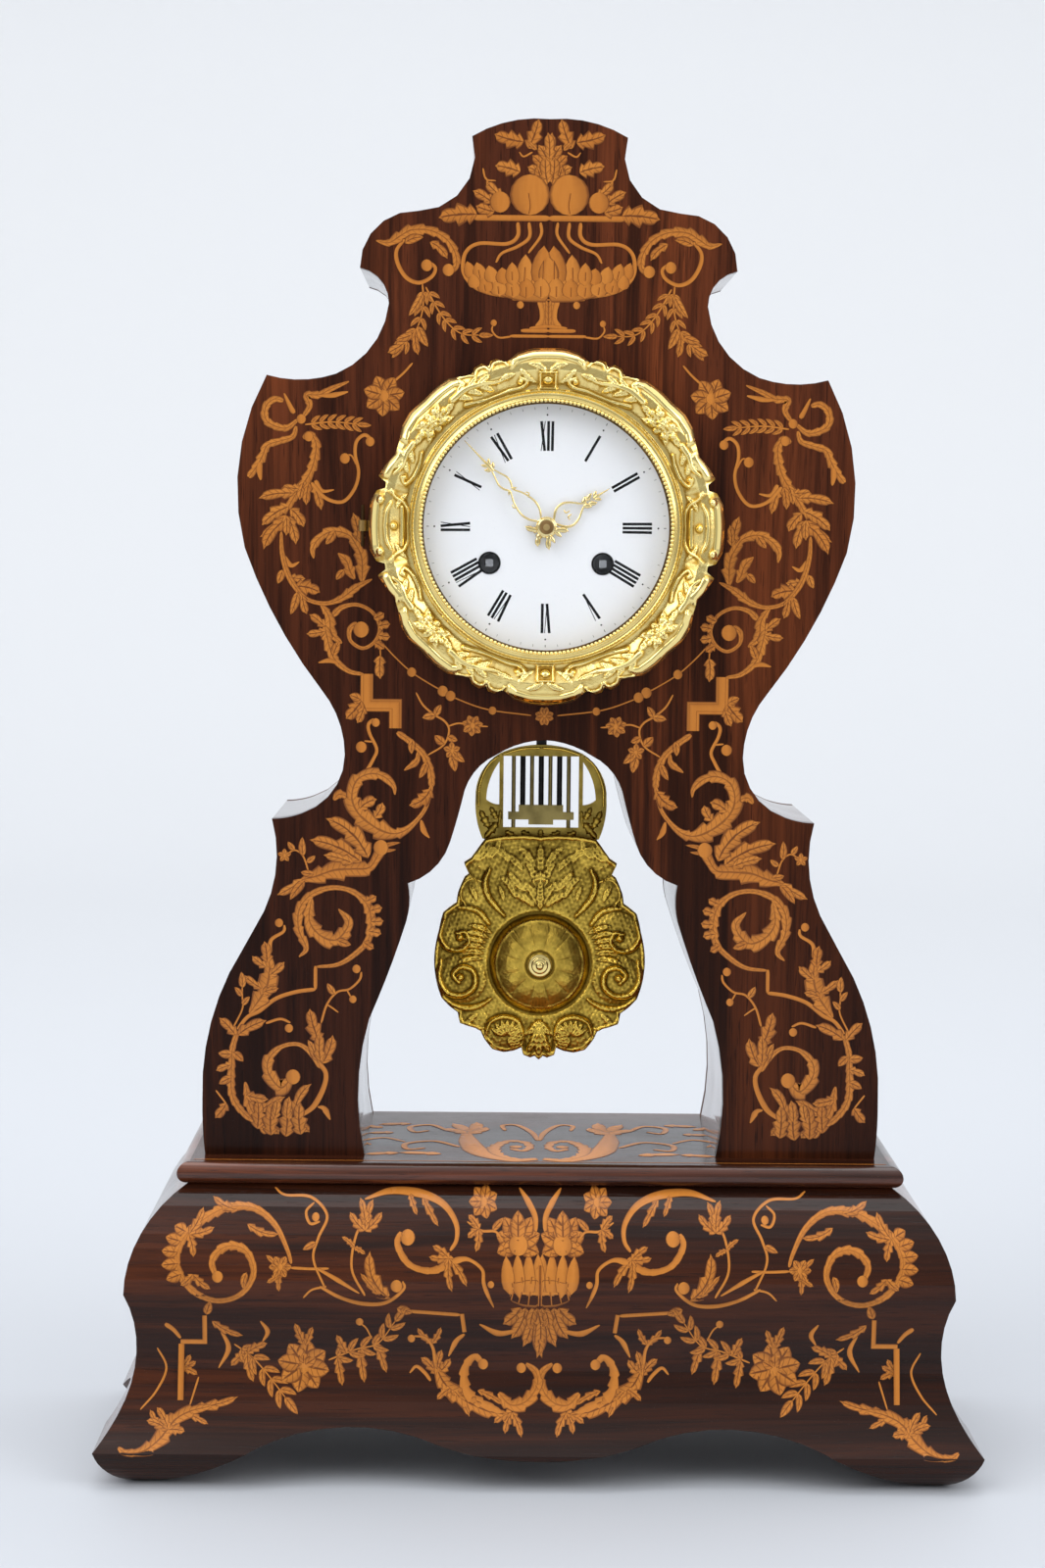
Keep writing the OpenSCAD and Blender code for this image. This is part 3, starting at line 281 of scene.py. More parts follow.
def casting_group():
    """Gilt casting: bright high places, dark hollows read from the cavity attribute, fine pitting."""

    def build(g, i):
        cavity = i["Cavity"]
        worn = g.noise(i["Vector"], 120.0, 4.0, 0.6)
        part = g.band(g.sum("MULTIPLY_ADD", worn, i["Wear"], cavity), i["Low"], i["High"])
        pits = g.noise(i["Vector"], 1100.0, 3.0, 0.7)
        return {
            "Color": g.mix(part, i["Hollow"], i["Crest"]),
            "Roughness": g.sum("MULTIPLY_ADD", part, -0.22, i["Roughness"], True),
            "Height": pits,
        }

    return group(
        "Gilt casting",
        [("Vector", "V", None), ("Cavity", "F", 0.5), ("Hollow", "C", GREY), ("Crest", "C", GREY),
         ("Roughness", "F", 0.4), ("Low", "F", 0.35), ("High", "F", 0.75), ("Wear", "F", 0.25)],
        [("Color", "C"), ("Roughness", "F"), ("Height", "F")],
        build,
    )


def turning_group():
    """Lathe or file marks: fine lines across the vector's X, with soft scratches."""

    def build(g, i):
        fine = g.noise(g.mapped(i["Vector"], (1, 0.04, 1)), 2600.0, 2.0, 0.6)
        stain = g.noise(i["Vector"], 90.0, 4.0, 0.6)
        return {
            "Tone": g.band(stain, 0.3, 0.75),
            "Height": fine,
        }

    return group("File marks", [("Vector", "V", None)], [("Tone", "F"), ("Height", "F")], build)


GROUPS = {}


def groups():
    if not GROUPS:
        GROUPS.update(veneer=veneer_group(), handling=handling_group(), casting=casting_group(),
                      turning=turning_group())
    return GROUPS


def material(name):
    made = bpy.data.materials.new(name)
    made.use_nodes = True
    made.node_tree.nodes.clear()
    graph = Graph(made.node_tree)
    out = made.node_tree.nodes.new("ShaderNodeOutputMaterial")
    shader = made.node_tree.nodes.new("ShaderNodeBsdfPrincipled")
    made.node_tree.links.new(shader.outputs[0], out.inputs[0])
    where = made.node_tree.nodes.new("ShaderNodeTexCoord").outputs["Object"]
    return made, graph, shader, where


def settle(graph, shader, **values):
    for name, value in values.items():
        graph.put(shader.inputs[name.replace("_", " ")], value)


def rosewood(name, look, grain, painted_light_level=1.0, gloss=0.35):
    """French polished rosewood; grain is X, Y or Z, the way its figure runs."""
    made, g, shader, where = material(name)
    turns = {"Z": (0, 0, 0), "X": (0, math.radians(90), 0), "Y": (math.radians(90), 0, 0)}
    along = g.mapped(where, turn=turns[grain])
    # Painted light and shade: this factor scales the ground and the red streaks of one rosewood, above 1
    # lighter, below 1 darker
    figure = use(g, groups()["veneer"], Vector=along, Dark=tuple(look.dark),
                 Ground=tuple(c * painted_light_level for c in look.middle),
                 Red=tuple(c * painted_light_level for c in look.light))
    hand = use(g, groups()["handling"], Vector=where, Scale=22.0, Roughness=look.polish, Amount=0.10)
    colour = g.mix(g.sum("MULTIPLY", hand["Film"], 0.8), figure["Color"], (0.30, 0.22, 0.18))
    if grain == "Z":
        # Painted light and shade: the head a little lighter, the legs darker towards the bottom, the right
        # leg most
        x, _, z = g.split(where)
        low = g.band(z, 0.58, 0.20)
        right = g.sum("MULTIPLY", g.band(x, 0.02, 0.12), 0.25)
        painted_light_and_shade = g.sum("SUBTRACT", 1.15, g.sum("MULTIPLY", low, g.sum("ADD", right, 0.50)))
        colour = g.mix(1.0, colour, painted_light_and_shade, "MULTIPLY")
    settle(g, shader, Base_Color=colour, Roughness=hand["Roughness"], Coat_Weight=gloss,
           Coat_Roughness=0.12, Specular_IOR_Level=0.05 + 0.9 * gloss,
           Normal=g.bump(figure["Height"], 0.35, 0.0001))
    return made


def softwood(name, pine):
    made, g, shader, where = material(name)
    along = g.mapped(where, (1, 1, 0.06))
    rings = g.noise(along, 60.0, 3.0, 0.6, 0.6)
    late = g.band(g.sum("FRACT", g.sum("MULTIPLY", rings, 9.0)), 0.55, 0.95)
    pine = tuple(pine)
    colour = g.mix(g.sum("MULTIPLY", late, 0.6), pine, tuple(c * 0.45 for c in pine))
    dirt = g.noise(where, 18.0, 4.0)
    colour = g.mix(g.sum("MULTIPLY", g.band(dirt, 0.4, 0.75), 0.6), colour, tuple(c * 0.3 for c in pine))
    settle(g, shader, Base_Color=colour, Roughness=g.band(late, 0.0, 1.0, 0.75, 0.55),
           Normal=g.bump(late, 0.4, 0.0002))
    return made


def inlay_wood(name, look, wood, gloss=0.1, light=1.0):
    """Fruitwood and maple marquetry: sand-shaded edges and engraved veins along the piece's UV."""
    made, g, shader, where = material(name)
    uv = g.add("ShaderNodeUVMap", props={"uv_map": "along"})
    u, v, _ = g.split(uv)
    side = g.sum("ABSOLUTE", g.sum("MULTIPLY_ADD", v, 2.0, -1.0))
    tone = g.channels("tone")
    fibre = g.noise(g.mapped(where, (1, 1, 0.15)), 500.0, 3.0)
    colour = g.mix(g.sum("MULTIPLY_ADD", fibre, 0.6, g.sum("MULTIPLY", tone[0], 0.6), True),
                   tuple(c * light for c in look.honey), tuple(c * light for c in look.pale))
    shade = g.sum("MULTIPLY", g.band(v, 0.52, 0.05), tone[2])
    colour = g.mix(g.sum("MULTIPLY", shade, 0.30), colour, tuple(look.burnt))
    rib = g.sum("SUBTRACT", 1.0, g.band(side, 0.05, 0.17))
    slant = g.sum("FRACT", g.sum("SUBTRACT", g.sum("MULTIPLY", u, 0.36), g.sum("MULTIPLY", side, 0.9)))
    vein = g.sum("SUBTRACT", 1.0, g.band(g.sum("ABSOLUTE", g.sum("SUBTRACT", slant, 0.5)), 0.04, 0.12))
    lines = g.sum("MAXIMUM", rib, g.sum("MULTIPLY", vein, 0.7))
    edge = g.band(g.sum("MULTIPLY_ADD", tone[1], 0.10, side), 0.80, 0.98)
    lines = g.sum("MAXIMUM", g.sum("MULTIPLY", lines, tone[1]), g.sum("MULTIPLY", edge, 0.85))
    colour = g.mix(g.sum("MULTIPLY", lines, 0.85), colour, tuple(look.burnt))
    hand = use(g, groups()["handling"], Vector=where, Scale=22.0, Roughness=wood.polish + 0.05, Amount=0.1)
    settle(g, shader, Base_Color=colour, Roughness=hand["Roughness"], Coat_Weight=gloss,
           Coat_Roughness=0.1, Specular_IOR_Level=2 * gloss, Normal=g.bump(fibre, 0.2, 0.00008))
    return made


def gilding(name, crest, hollow, rough, low, high, masked=False, pit=0.00006, wear=0.25):
    """Gilt casting; where masked, the second channel of the cavity attribute marks burnished places."""
    made, g, shader, where = material(name)
    cavity, burnished, _ = g.channels("cavity")
    cast = use(g, groups()["casting"], Vector=where, Cavity=cavity, Hollow=hollow, Crest=crest,
               Roughness=rough, Low=low, High=high, Wear=wear)
    colour, dull, height = cast["Color"], cast["Roughness"], cast["Height"]
    if masked:
        colour = g.mix(g.sum("MULTIPLY", burnished, 0.7), colour, crest)
        dull = g.sum("MULTIPLY_ADD", burnished, -0.2, dull, True)
        height = g.sum("MULTIPLY", height, g.sum("SUBTRACT", 1.0, burnished))
    settle(g, shader, Base_Color=colour, Roughness=dull, Metallic=1.0, Normal=g.bump(height, 0.35, pit))
    return made


def metal(name, colour, rough, tarnish=0.35, marks=0.00003):
    made, g, shader, where = material(name)
    marked = use(g, groups()["turning"], Vector=where)
    dull = tuple(c * tarnish for c in colour)
    tone = g.mix(marked["Tone"], tuple(colour), dull)
    settle(g, shader, Base_Color=g.mix(0.55, tuple(colour), tone), Metallic=1.0,
           Roughness=g.band(marked["Tone"], 0.0, 1.0, rough, min(1.0, rough + 0.2)),
           Normal=g.bump(marked["Height"], 0.25, marks))
    return made


# Mesh helpers


def piece(name, points, faces, look, body, smooth=True, layers=None, stands_for=(), uv=None):
    """A finished mesh from points in mm, riding on a body; layers are grey values kept for the material."""
    mesh = bpy.data.meshes.new(name)
    mesh.from_pydata((np.asarray(points, float) * MM).tolist(), [], faces)
    for label, values in (layers or {}).items():
        values = np.asarray(values, float)
        if values.ndim == 1:
            values = np.repeat(values[:, None], 3, 1)
        values = np.hstack([values, np.ones((len(values), 1))])
        mesh.color_attributes.new(label, "FLOAT_COLOR", "POINT").data.foreach_set("color", values.ravel())
    if uv is not None:
        corners = np.empty(len(mesh.loops), int)
        mesh.loops.foreach_get("vertex_index", corners)
        mesh.uv_layers.new(name="along").data.foreach_set("uv", np.asarray(uv, float)[corners].ravel())
    mesh.polygons.foreach_set("use_smooth", [smooth] * len(mesh.polygons))
    mesh.materials.append(look)
    made = bpy.data.objects.new(name, mesh)
    bpy.context.collection.objects.link(made)
    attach(made, body)
    if stands_for:
        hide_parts(*stands_for)
    return made


def paint(look, *nodes):
    for node in nodes:
        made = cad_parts[node]
        made.data.materials.clear()
        made.data.materials.append(look)


NEVER_ZERO = 1e-9


def smooth_path(points, step):
    """Points on a smooth curve through the given ones, about one step apart."""
    p = np.asarray(points, float)
    if len(p) < 3:
        n = max(2, int(np.linalg.norm(p[-1] - p[0]) / step) + 1)
        return p[0] + (p[-1] - p[0]) * np.linspace(0, 1, n)[:, None]
    q = np.vstack([2 * p[0] - p[1], p, 2 * p[-1] - p[-2]])
    out = []
    for a, b, c, d in zip(q, q[1:], q[2:], q[3:]):
        n = max(2, int(np.linalg.norm(c - b) / step) + 1)
        t = np.linspace(0, 1, n, endpoint=False)[:, None]
        out.append(0.5 * (2 * b + (c - a) * t + (2 * a - 5 * b + 4 * c - d) * t**2
                          + (3 * b - a - 3 * c + d) * t**3))
    return np.vstack([*out, p[-1:]])


def run_of(path):
    """Distance from the start of a path, at each of its points."""
    return np.r_[0, np.cumsum(np.linalg.norm(np.diff(path, axis=0), axis=1))]


def along(path):
    """Fraction of the way along a path, at each of its points."""
    run = run_of(path)
    return run / max(run[-1], NEVER_ZERO)


def across(path):
    """Unit vectors along a path and to its left, at each of its points."""
    way = np.gradient(path, axis=0)
    way /= np.maximum(np.linalg.norm(way, axis=1, keepdims=True), NEVER_ZERO)
    return way, np.stack([-way[:, 1], way[:, 0]], 1)


# Marquetry: slips of inlay, each a strip drawn in the plane of its panel


class Inlay:
    """Slips gathered as three-column strips with their UV and tones, then laid as closed solids."""

    THINNEST = 0.12
    ACANTHUS = (3.4, 12)  # widths between which a stem has toothed edges
    FIRST_TO_LAST = 0.06  # how much prouder the last slip is than the first
    NEXT, CYCLE = 0.004, 11  # step between neighbours, and how many neighbours have steps of their own
    MIRRORED = 0.002  # how much prouder a mirrored slip is than its twin

    def __init__(self):
        self.strips = []

    def strip(self, path, half, tone=0.5, veins=0.0, shade=1.0):
        _, side = across(path)
        half = np.maximum(half, self.THINNEST / 2)[:, None]
        flat = np.stack([path + side * half, path, path - side * half], 1)
        self.strips.append((flat, run_of(path), (tone, veins, shade)))

    def stem(self, points, *widths, tone=0.6, veins=0.0):
        """A curved band; broad ones are acanthus, with teeth along both edges."""
        path = smooth_path(points, 0.9)
        half = np.interp(along(path), np.linspace(0, 1, len(widths)), widths) / 2
        if self.ACANTHUS[0] < max(widths) < self.ACANTHUS[1]:
            teeth = np.mod(run_of(path) / (1.1 * max(widths)), 1.0)
            half = half * (1 + 0.5 * (teeth - 0.55) * np.clip(half - 1.2, 0, 1))
        end = np.minimum(along(path), 1 - along(path)) * len(path)
        self.strip(path, half * np.clip(0.55 + end * 0.3, 0, 1), tone, veins)

    def leaf(self, x0, z0, x1, z1, width, bend=0.0, lobes=3, tone=0.4, veins=1.0):
        base, tip = np.array([x0, z0], float), np.array([x1, z1], float)
        way = tip - base
        side = np.array([-way[1], way[0]])
        t = np.linspace(0, 1, lobes * 5 + 2)[:, None]
        path = base + way * t + side * bend * 4 * t * (1 - t)
        t = t[:, 0]
        env = 2.5 * t**0.55 * (1 - t) ** 0.8
        notch = np.mod(t * lobes + 0.35, 1.0)
        half = width / 2 * env * (0.56 + 0.56 * notch if lobes > 1 else 1.05)
        self.strip(path, half, tone, veins)

    def fan(self, x, z, width, *tips):
        for k, (x1, z1) in enumerate(tips):
            self.leaf(x, z, x1, z1, width, 0.06 * (-1) ** k, 3, 0.4 + 0.06 * k)

    def ball(self, x, z, r, tone=0.75):
        t = np.linspace(-1, 1, 9)
        t = np.sin(t * np.pi / 2)
        path = np.stack([x + 0 * t, z + r * t], 1)
        self.strip(path, r * np.sqrt(np.maximum(0, 1 - t * t)), tone, 0.0)

    def cut(self, points):
        """An engraved line."""
        path = smooth_path(points, 1.0)
        self.strip(path, np.full(len(path), 0.4), 0.0, 0.0, 6.0)

    def flower(self, x, z, r, petals=6, turn=0.0, tone=0.5):
        for k in range(petals):
            a = turn + 2 * math.pi * k / petals
            self.leaf(x + 0.15 * r * math.cos(a), z + 0.15 * r * math.sin(a), x + r * math.cos(a),
                      z + r * math.sin(a), r * 0.72, 0.0, 1, tone + 0.1 * (k % 2))
        self.ball(x, z, r * 0.26, tone + 0.3)

    def sprig(self, points, size, count):
        """A thin stem with pairs of small leaves along it and one at its end."""
        path = smooth_path(points, 1.0)
        self.stem(points, 0.9, 0.54)
        way, side = across(path)
        t = along(path)
        for k in range(count):
            i = int(np.searchsorted(t, (k + 0.6) / count * 0.92))
            for s in (-1, 1):
                tip = path[i] + size * (0.80 * way[i] + 0.55 * s * side[i])
                self.leaf(*path[i], *tip, size * 0.37, 0.08 * s, 1, 0.55 if s > 0 else 0.45)
        self.leaf(*path[-2], *(path[-1] + size * way[-1]), size * 0.45, 0, 1, 0.45)

    def strap(self, points, width, tone=0.5, shift=0.0):
        """A straight-sided band with mitred corners, or an engraved line shifted to its side."""
        p = np.asarray(points, float)
        way = np.diff(p, axis=0)
        way /= np.linalg.norm(way, axis=1, keepdims=True)
        side = np.stack([-way[:, 1], way[:, 0]], 1)
        mitre = np.vstack([side[:1], side[:-1] + side[1:], side[-1:]])
        mitre[1:-1] /= np.maximum(1 + (side[:-1] * side[1:]).sum(1, keepdims=True), 0.2)
        flat = np.stack([p + mitre * (shift + k * width) for k in (0.5, 0, -0.5)], 1)
        self.strips.append((flat, run_of(p), (tone, 0.0, 3.0 if shift else 1.0)))

    def lay(self, name, place, look, proud, mirrored=True, body="case", slot=None, deep=0.25, crown=0.0):
        """place(flat points, height) gives points in space; every slip gets a front, a back and a rim."""
        points, faces, uv, tones = [], [], [], []
        for count, (flat, u, tone) in enumerate(self.strips):
            rows = len(flat)
            for sign in (1, -1) if mirrored else (1,):
                # No two overlapping slips share a height
                order = self.FIRST_TO_LAST * count / len(self.strips) + self.NEXT * (count % self.CYCLE)
                raise_by = proud + order + self.MIRRORED * (sign < 0)
                both = flat * np.array([sign, 1.0])
                half = np.linalg.norm(flat[:, 0] - flat[:, 1], axis=1)
                rise = np.stack([0 * half, np.minimum(crown * half, 3 * crown), 0 * half], 1).ravel()
                front = place(both.reshape(-1, 2), raise_by + rise).reshape(rows, 3, 3)
                back = place(both.reshape(-1, 2), np.full(rows * 3, -deep)).reshape(rows, 3, 3)
                start = len(points)
                points.extend(front.reshape(-1, 3))
                points.extend(back.reshape(-1, 3))
                v = np.tile([1.0, 0.5, 0.0], rows)
                uv.extend(np.tile(np.stack([np.repeat(u, 3), v], 1), (2, 1)))
                tones.extend([tone] * rows * 6)
                under = start + rows * 3
                grid = start + np.arange(rows * 3).reshape(rows, 3)
                quads = []
                for i in range(rows - 1):
                    for j in range(2):
                        quads.append((grid[i, j], grid[i, j + 1], grid[i + 1, j + 1], grid[i + 1, j]))
                quads += [tuple(k + rows * 3 for k in q[::-1]) for q in quads]
                rim = list(grid[:, 0][::-1]) + list(grid[0, 1:]) + list(grid[1:, 2]) + [grid[-1, 1]]
                for a, b in zip(rim, rim[1:] + rim[:1]):
                    quads.append((b, a, a + under - start, b + under - start))
                faces.extend(tuple(int(k) for k in (q if sign > 0 else q[::-1])) for q in quads)
        layers = {"tone": tones, "cavity": tones}
        return piece(name, points, faces, look, body, crown > 0, layers, (), np.asarray(uv))


def on_front(flat, height):
    """Points on the front of the case, from distances to the middle and heights above the shelf."""
    return np.stack([flat[:, 0], CASE_FRONT_Y - height, flat[:, 1] + SHELF_Z], 1)


def on_shelf(flat, height):
    """Points on the shelf, from distances to the middle and depths behind its front."""
    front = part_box("base_shelf")[0].y / MM
    return np.stack([flat[:, 0], front + flat[:, 1], SHELF_Z + height], 1)


EYE_Y = -0.3  # in metres, well in front of the base
TOP_EDGE_Y = -0.04755  # front of the base at its top edge, for slips that reach past it


def on_base():
    """Points on the ogee front of the base, found by looking at it from the front."""
    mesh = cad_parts["base_front_board"].data
    tree = BVHTree.FromPolygons([v.co for v in mesh.vertices], [p.vertices for p in mesh.polygons])
    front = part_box("base_front_board")[0].y / MM

    def place(flat, height):
        out = np.empty((len(flat), 3))
        for i, (x, z) in enumerate(flat):
            eye = Vector((x * MM, EYE_Y, (z + SHELF_Z) * MM))
            hit, normal, _, _ = tree.ray_cast(eye, Vector((0, 1, 0)))
            if hit is None:
                hit, normal = Vector((eye.x, TOP_EDGE_Y, eye.z)), Vector((0, -1, 0))
            if normal.y > 0:
                normal = -normal
            out[i] = np.array(hit) / MM + np.array(normal) * height[i]
        # Slips on the foremost line of the board stay inside its box, each at its own depth
        out[:, 1] = np.maximum(out[:, 1], front + 0.002 * np.arange(len(out)) / len(out))
        return out

    return place


CASE_STEMS = (  # widths along the stem, then its points
    # Tray, strands, bowl and foot of the urn
    ((2.8, 2.8), (0, 433.2, 34.5, 433.2)),
    ((1, 0.8), (8, 463, 12, 461, 14, 463)),
    ((1, 0.7), (30.5, 455.5, 29, 450.7, 24.6, 450)),
    ((0.9, 0.6), (29.2, 451.5, 27, 446.6)),
    ((2, 1.8, 1.8, 2.2), (14.3, 431.3, 14.4, 425, 19.3, 421.5, 32, 421.5, 38, 417.5, 39.2, 410,
     37, 404.5)),
    ((1.8, 1.6, 1.2), (9.2, 431.3, 9.1, 424.5, 14.4, 420.3, 21.5, 417.2, 24.2, 413)),
    ((1.6, 1.4, 1.2), (3.9, 431.3, 3.8, 425.4, 9.4, 417.4)),
    ((13, 12.4, 8, 3), (0, 401.6, 12, 401.6, 26, 403, 36, 406.6)),
    ((2.2, 2.4, 1.6), (0, 398.2, 21, 398.4, 32, 400.8, 38, 405.4)),
    ((1, 1), (0, 396.3, 16.6, 396.3)),
    ((3.2, 2.8, 2.8, 3.2), (1.4, 396, 1.3, 391, 1.3, 387, 1.5, 383)),
    ((2.8, 2.4, 2.4, 3), (4.2, 396, 3, 391.6, 3, 387, 5.4, 383.4)),
    ((2, 1.2), (0, 384.2, 8.6, 383.4)),
    ((2, 1.8), (0, 382.2, 12.5, 382.2)),
    ((1.5, 1.5), (0, 379.7, 17.5, 379.7)),
    ((1.1, 0.9, 0.9), (17, 379.4, 22.7, 379, 25.7, 382, 25.4, 384.4)),
    # Scrolls beside the urn
    ((1.4, 2, 2, 1.8, 1.6), (66, 423, 69.6, 418, 69, 412, 65, 405.7, 59.2, 403.5, 53.5, 406.3,
     51.9, 410.3, 55.1, 413)),
    ((1, 4.6, 5.4, 4.4, 4, 4, 2.6), (79, 422.4, 73.3, 421.4, 68.4, 424.3, 62.7, 427.3, 54.1, 427.1,
     46.9, 423.3, 42.8, 416.9, 42.4, 411.2, 45.6, 408.4)),
    # Ribbon, horn and tendrils of the shoulder
    ((1.2, 1), (70.5, 358.5, 66, 362.5, 62, 367)),
    ((1.5, 3.6, 3.8, 3.6, 2.6), (114, 341, 119.7, 336.8, 126.7, 338.5, 129.5, 342, 128.8, 347, 125, 350,
     121, 349.2)),
    ((2.6, 2, 1), (116, 343.6, 117.5, 346, 120.7, 352.6)),
    ((2, 3.4, 3.8, 2.6, 1), (112, 342, 109, 347, 110.3, 351.7, 104.4, 352.2, 98.9, 355, 91, 358.3)),
    ((1.4, 2.6, 1), (104, 351.8, 98.9, 351.9, 91.4, 353.6)),
    ((2, 3.2, 3.6, 4.6, 3.4), (115, 337.7, 116.6, 333, 122, 331, 128.2, 328.9, 130.4, 324.2, 132.9, 319.4,
     136.8, 314.2)),
    ((2.6, 2.8, 1.4), (131.6, 321, 131.8, 317, 131.2, 313)),
    ((3, 4.6, 4.8, 4.2, 3.4), (111.9, 332.3, 108.8, 333.9, 106, 330, 106.7, 322.3, 109.3, 315.3,
     114.6, 307.5, 119, 300)),
    ((2.4, 1.8, 0.8), (106.2, 313, 103, 308.3, 97.6, 308.8)),
    ((1.8, 1.7, 1.6, 1.8), (108, 312, 101.4, 305, 93.6, 303.4, 88.2, 309.4, 86.4, 317, 88, 325, 87.4, 331,
     83.9, 334, 80.8, 332.4)),
    ((1, 0.8), (87.2, 320, 89.7, 324.5, 92.4, 324.4)),
    ((1.5, 2.5, 3, 2, 2.2, 4.6, 1), (121.7, 289.4, 121.2, 279.4, 117.9, 268.5, 110.8, 259.3, 102.2, 256.7,
     94.5, 258.8, 86.8, 264.4, 79.9, 268)),
    ((1.6, 2.4, 0.8), (120.4, 278.5, 117.2, 274, 113.4, 275.6)),
    ((2.8, 6.4, 5.6, 4, 4.6, 4.8, 4, 1.2), (84.5, 266.7, 84.7, 277.6, 87.9, 284.5, 91, 288.3, 98, 289.8,
     104.2, 286.6, 107.2, 281.9, 106.8, 277.3)),
    ((2, 5.6, 5, 1), (88, 268, 90, 271.3, 91.6, 276, 95.6, 279.8)),
    # Spiral, strapwork and acanthus of the waist
    ((3.6, 2, 1.8, 1.9, 1.8, 1.8, 3.4), (98, 251, 93.6, 255, 86.4, 256.2, 79.4, 252.6, 76.2, 245.8,
     78.4, 239.4, 84, 236.2, 89.6, 239.6, 90, 245, 86.6, 247.6)),
    ((1, 4.6, 5.4, 1.4), (104, 257.4, 99.6, 250.6, 98.4, 243, 93.6, 238.4)),
    ((4.4, 5, 2.8, 1.6), (101.5, 246, 99.5, 237.5, 97, 231.2, 90.5, 225.7, 83.6, 224.2)),
    ((0.8, 2.4, 1.6), (104.4, 229.4, 99.6, 230.4, 95.6, 229.4)),
    ((0.8, 0.7), (76.1, 239, 75.7, 232)),
    ((3, 3, 3, 3.6, 3.6, 3.2), (67.9, 197.6, 61.5, 193, 55.7, 187.5, 52.4, 180, 51.7, 172.4)),
    ((2.2, 2, 2.2, 4, 8.4, 8.8, 7.6, 6, 5.6, 4.4, 1), (51.7, 173.4, 54.1, 163.5, 58.4, 157, 64, 152,
     70.3, 150.6, 78, 153.6, 85.7, 160, 88.6, 167.4, 86.5, 175, 80.2, 178.3, 73.9, 177, 69.4, 172.7,
     68.7, 168.6)),
    ((1.4, 3, 0.8), (56.5, 157, 55.2, 152, 52.6, 148.7)),
    ((1.2, 3.6, 1), (58.3, 188.8, 58.8, 184.3, 64.5, 180)),
    ((1.8, 1.6, 1.6, 1.8), (82.2, 179, 79, 184.7, 77.3, 189.7, 80.5, 196.6, 81.2, 201, 78.7, 203.6)),
    ((1, 0.9), (79.2, 193, 83, 193.4)),
    ((2.4, 4.4, 2.4, 1.4), (97, 166, 94.6, 168.6, 90.8, 167.4, 88.2, 163)),
    ((0.7, 0.7), (76, 239.7, 69, 232.2, 61.4, 225.4, 52.5, 219.8, 45.4, 216, 39.7, 213, 26.2, 208.5,
     6, 205.9)),
    ((0.9, 1.1, 1, 0.8), (59.3, 216, 56, 210.3, 51, 206, 45.9, 202.8, 43.9, 198.5, 46.3, 192, 53.8, 187)),
    ((0.9, 0.8), (44.4, 200.6, 39.4, 202, 33.2, 201, 26, 200.6)),
    # Bird, ring scroll and stems of the leg
    ((2.4, 6.6, 9, 9.6, 7, 4.4, 4.4), (112, 128.6, 104.5, 130.6, 96.5, 133.4, 88, 134, 80.6, 134.6,
     77, 139.4, 75, 143.4)),
    ((0.9, 0.8), (108.6, 133, 111, 139.7, 115, 142.5, 119.6, 139.6)),
    ((1, 3.8, 4.8, 4.6, 3.6, 2.6, 2.4, 3.4, 5, 4.6, 2.8, 2.6, 2, 1.4), (112.7, 92.8, 109.4, 97,
     112.9, 105.6, 112.6, 115, 107, 122, 97.5, 125.2, 88, 123.5, 81.3, 117.4, 79.3, 109, 81, 100.4,
     87.6, 93.6, 95, 89.3, 104.5, 88.2)),
    ((2.6, 6.4, 7.6, 6, 1), (107, 120, 108, 110, 103, 103, 95.3, 101, 89.7, 108.8, 94.5, 115.3)),
    ((1.8, 1.8), (105, 88.6, 105, 77.7)),
    ((1.9, 2, 1.8), (105, 77.7, 114, 76.4, 123.3, 73.2, 130.8, 67.4, 136.4, 64.5, 141, 58.7)),
    ((2, 7.6, 9.6, 6, 2), (135.5, 66.3, 128, 77.8, 126.3, 88.3, 128.4, 95.4)),
    ((2.4, 1.7, 1.4), (126.4, 94, 125.6, 100.6, 120, 104.5, 119.5, 107.6)),
    ((0.9, 0.7), (143, 59.6, 138.9, 68.2, 138.9, 74, 139, 81.4)),
    ((1.4, 1.3, 1.2), (127.9, 61.7, 121.2, 63.7, 116.5, 62)),
    ((2.4, 3.4, 4, 3.6, 2.4), (141, 58, 143.3, 50, 143.7, 43.5, 143.5, 28.3, 137.7, 19, 130, 14.3)),
    ((1, 0.8), (151, 30, 146, 23.5)),
    ((1.6, 5.2, 3.4), (137.4, 34, 135, 22, 130, 15.6)),
    ((1.8, 2.8, 2.4, 2.2), (112, 18, 105.5, 23, 100.9, 31.8, 100, 38.4, 103, 43)),
    ((1.2, 3, 1), (103.6, 22.6, 100.6, 21.8, 97.8, 16.6)),
    ((4.4, 7.4, 6, 5, 2.2, 2, 2.8, 3.6), (115.6, 36.3, 120.8, 31.5, 126.5, 38, 126.6, 44.7, 121, 50.5,
     113.4, 52, 107.7, 48.7, 101.9, 41.2)),
    ((1.2, 1.1, 1.1, 1.2), (102.3, 62, 99.6, 70.7, 94.9, 76.5, 89.2, 78, 84.6, 82.3, 83.7, 86)),
    ((0.9, 0.8), (90.4, 77.6, 88.2, 73.7)),
    ((0.9, 0.8), (99.6, 70.7, 97, 69, 94.3, 67)),
)
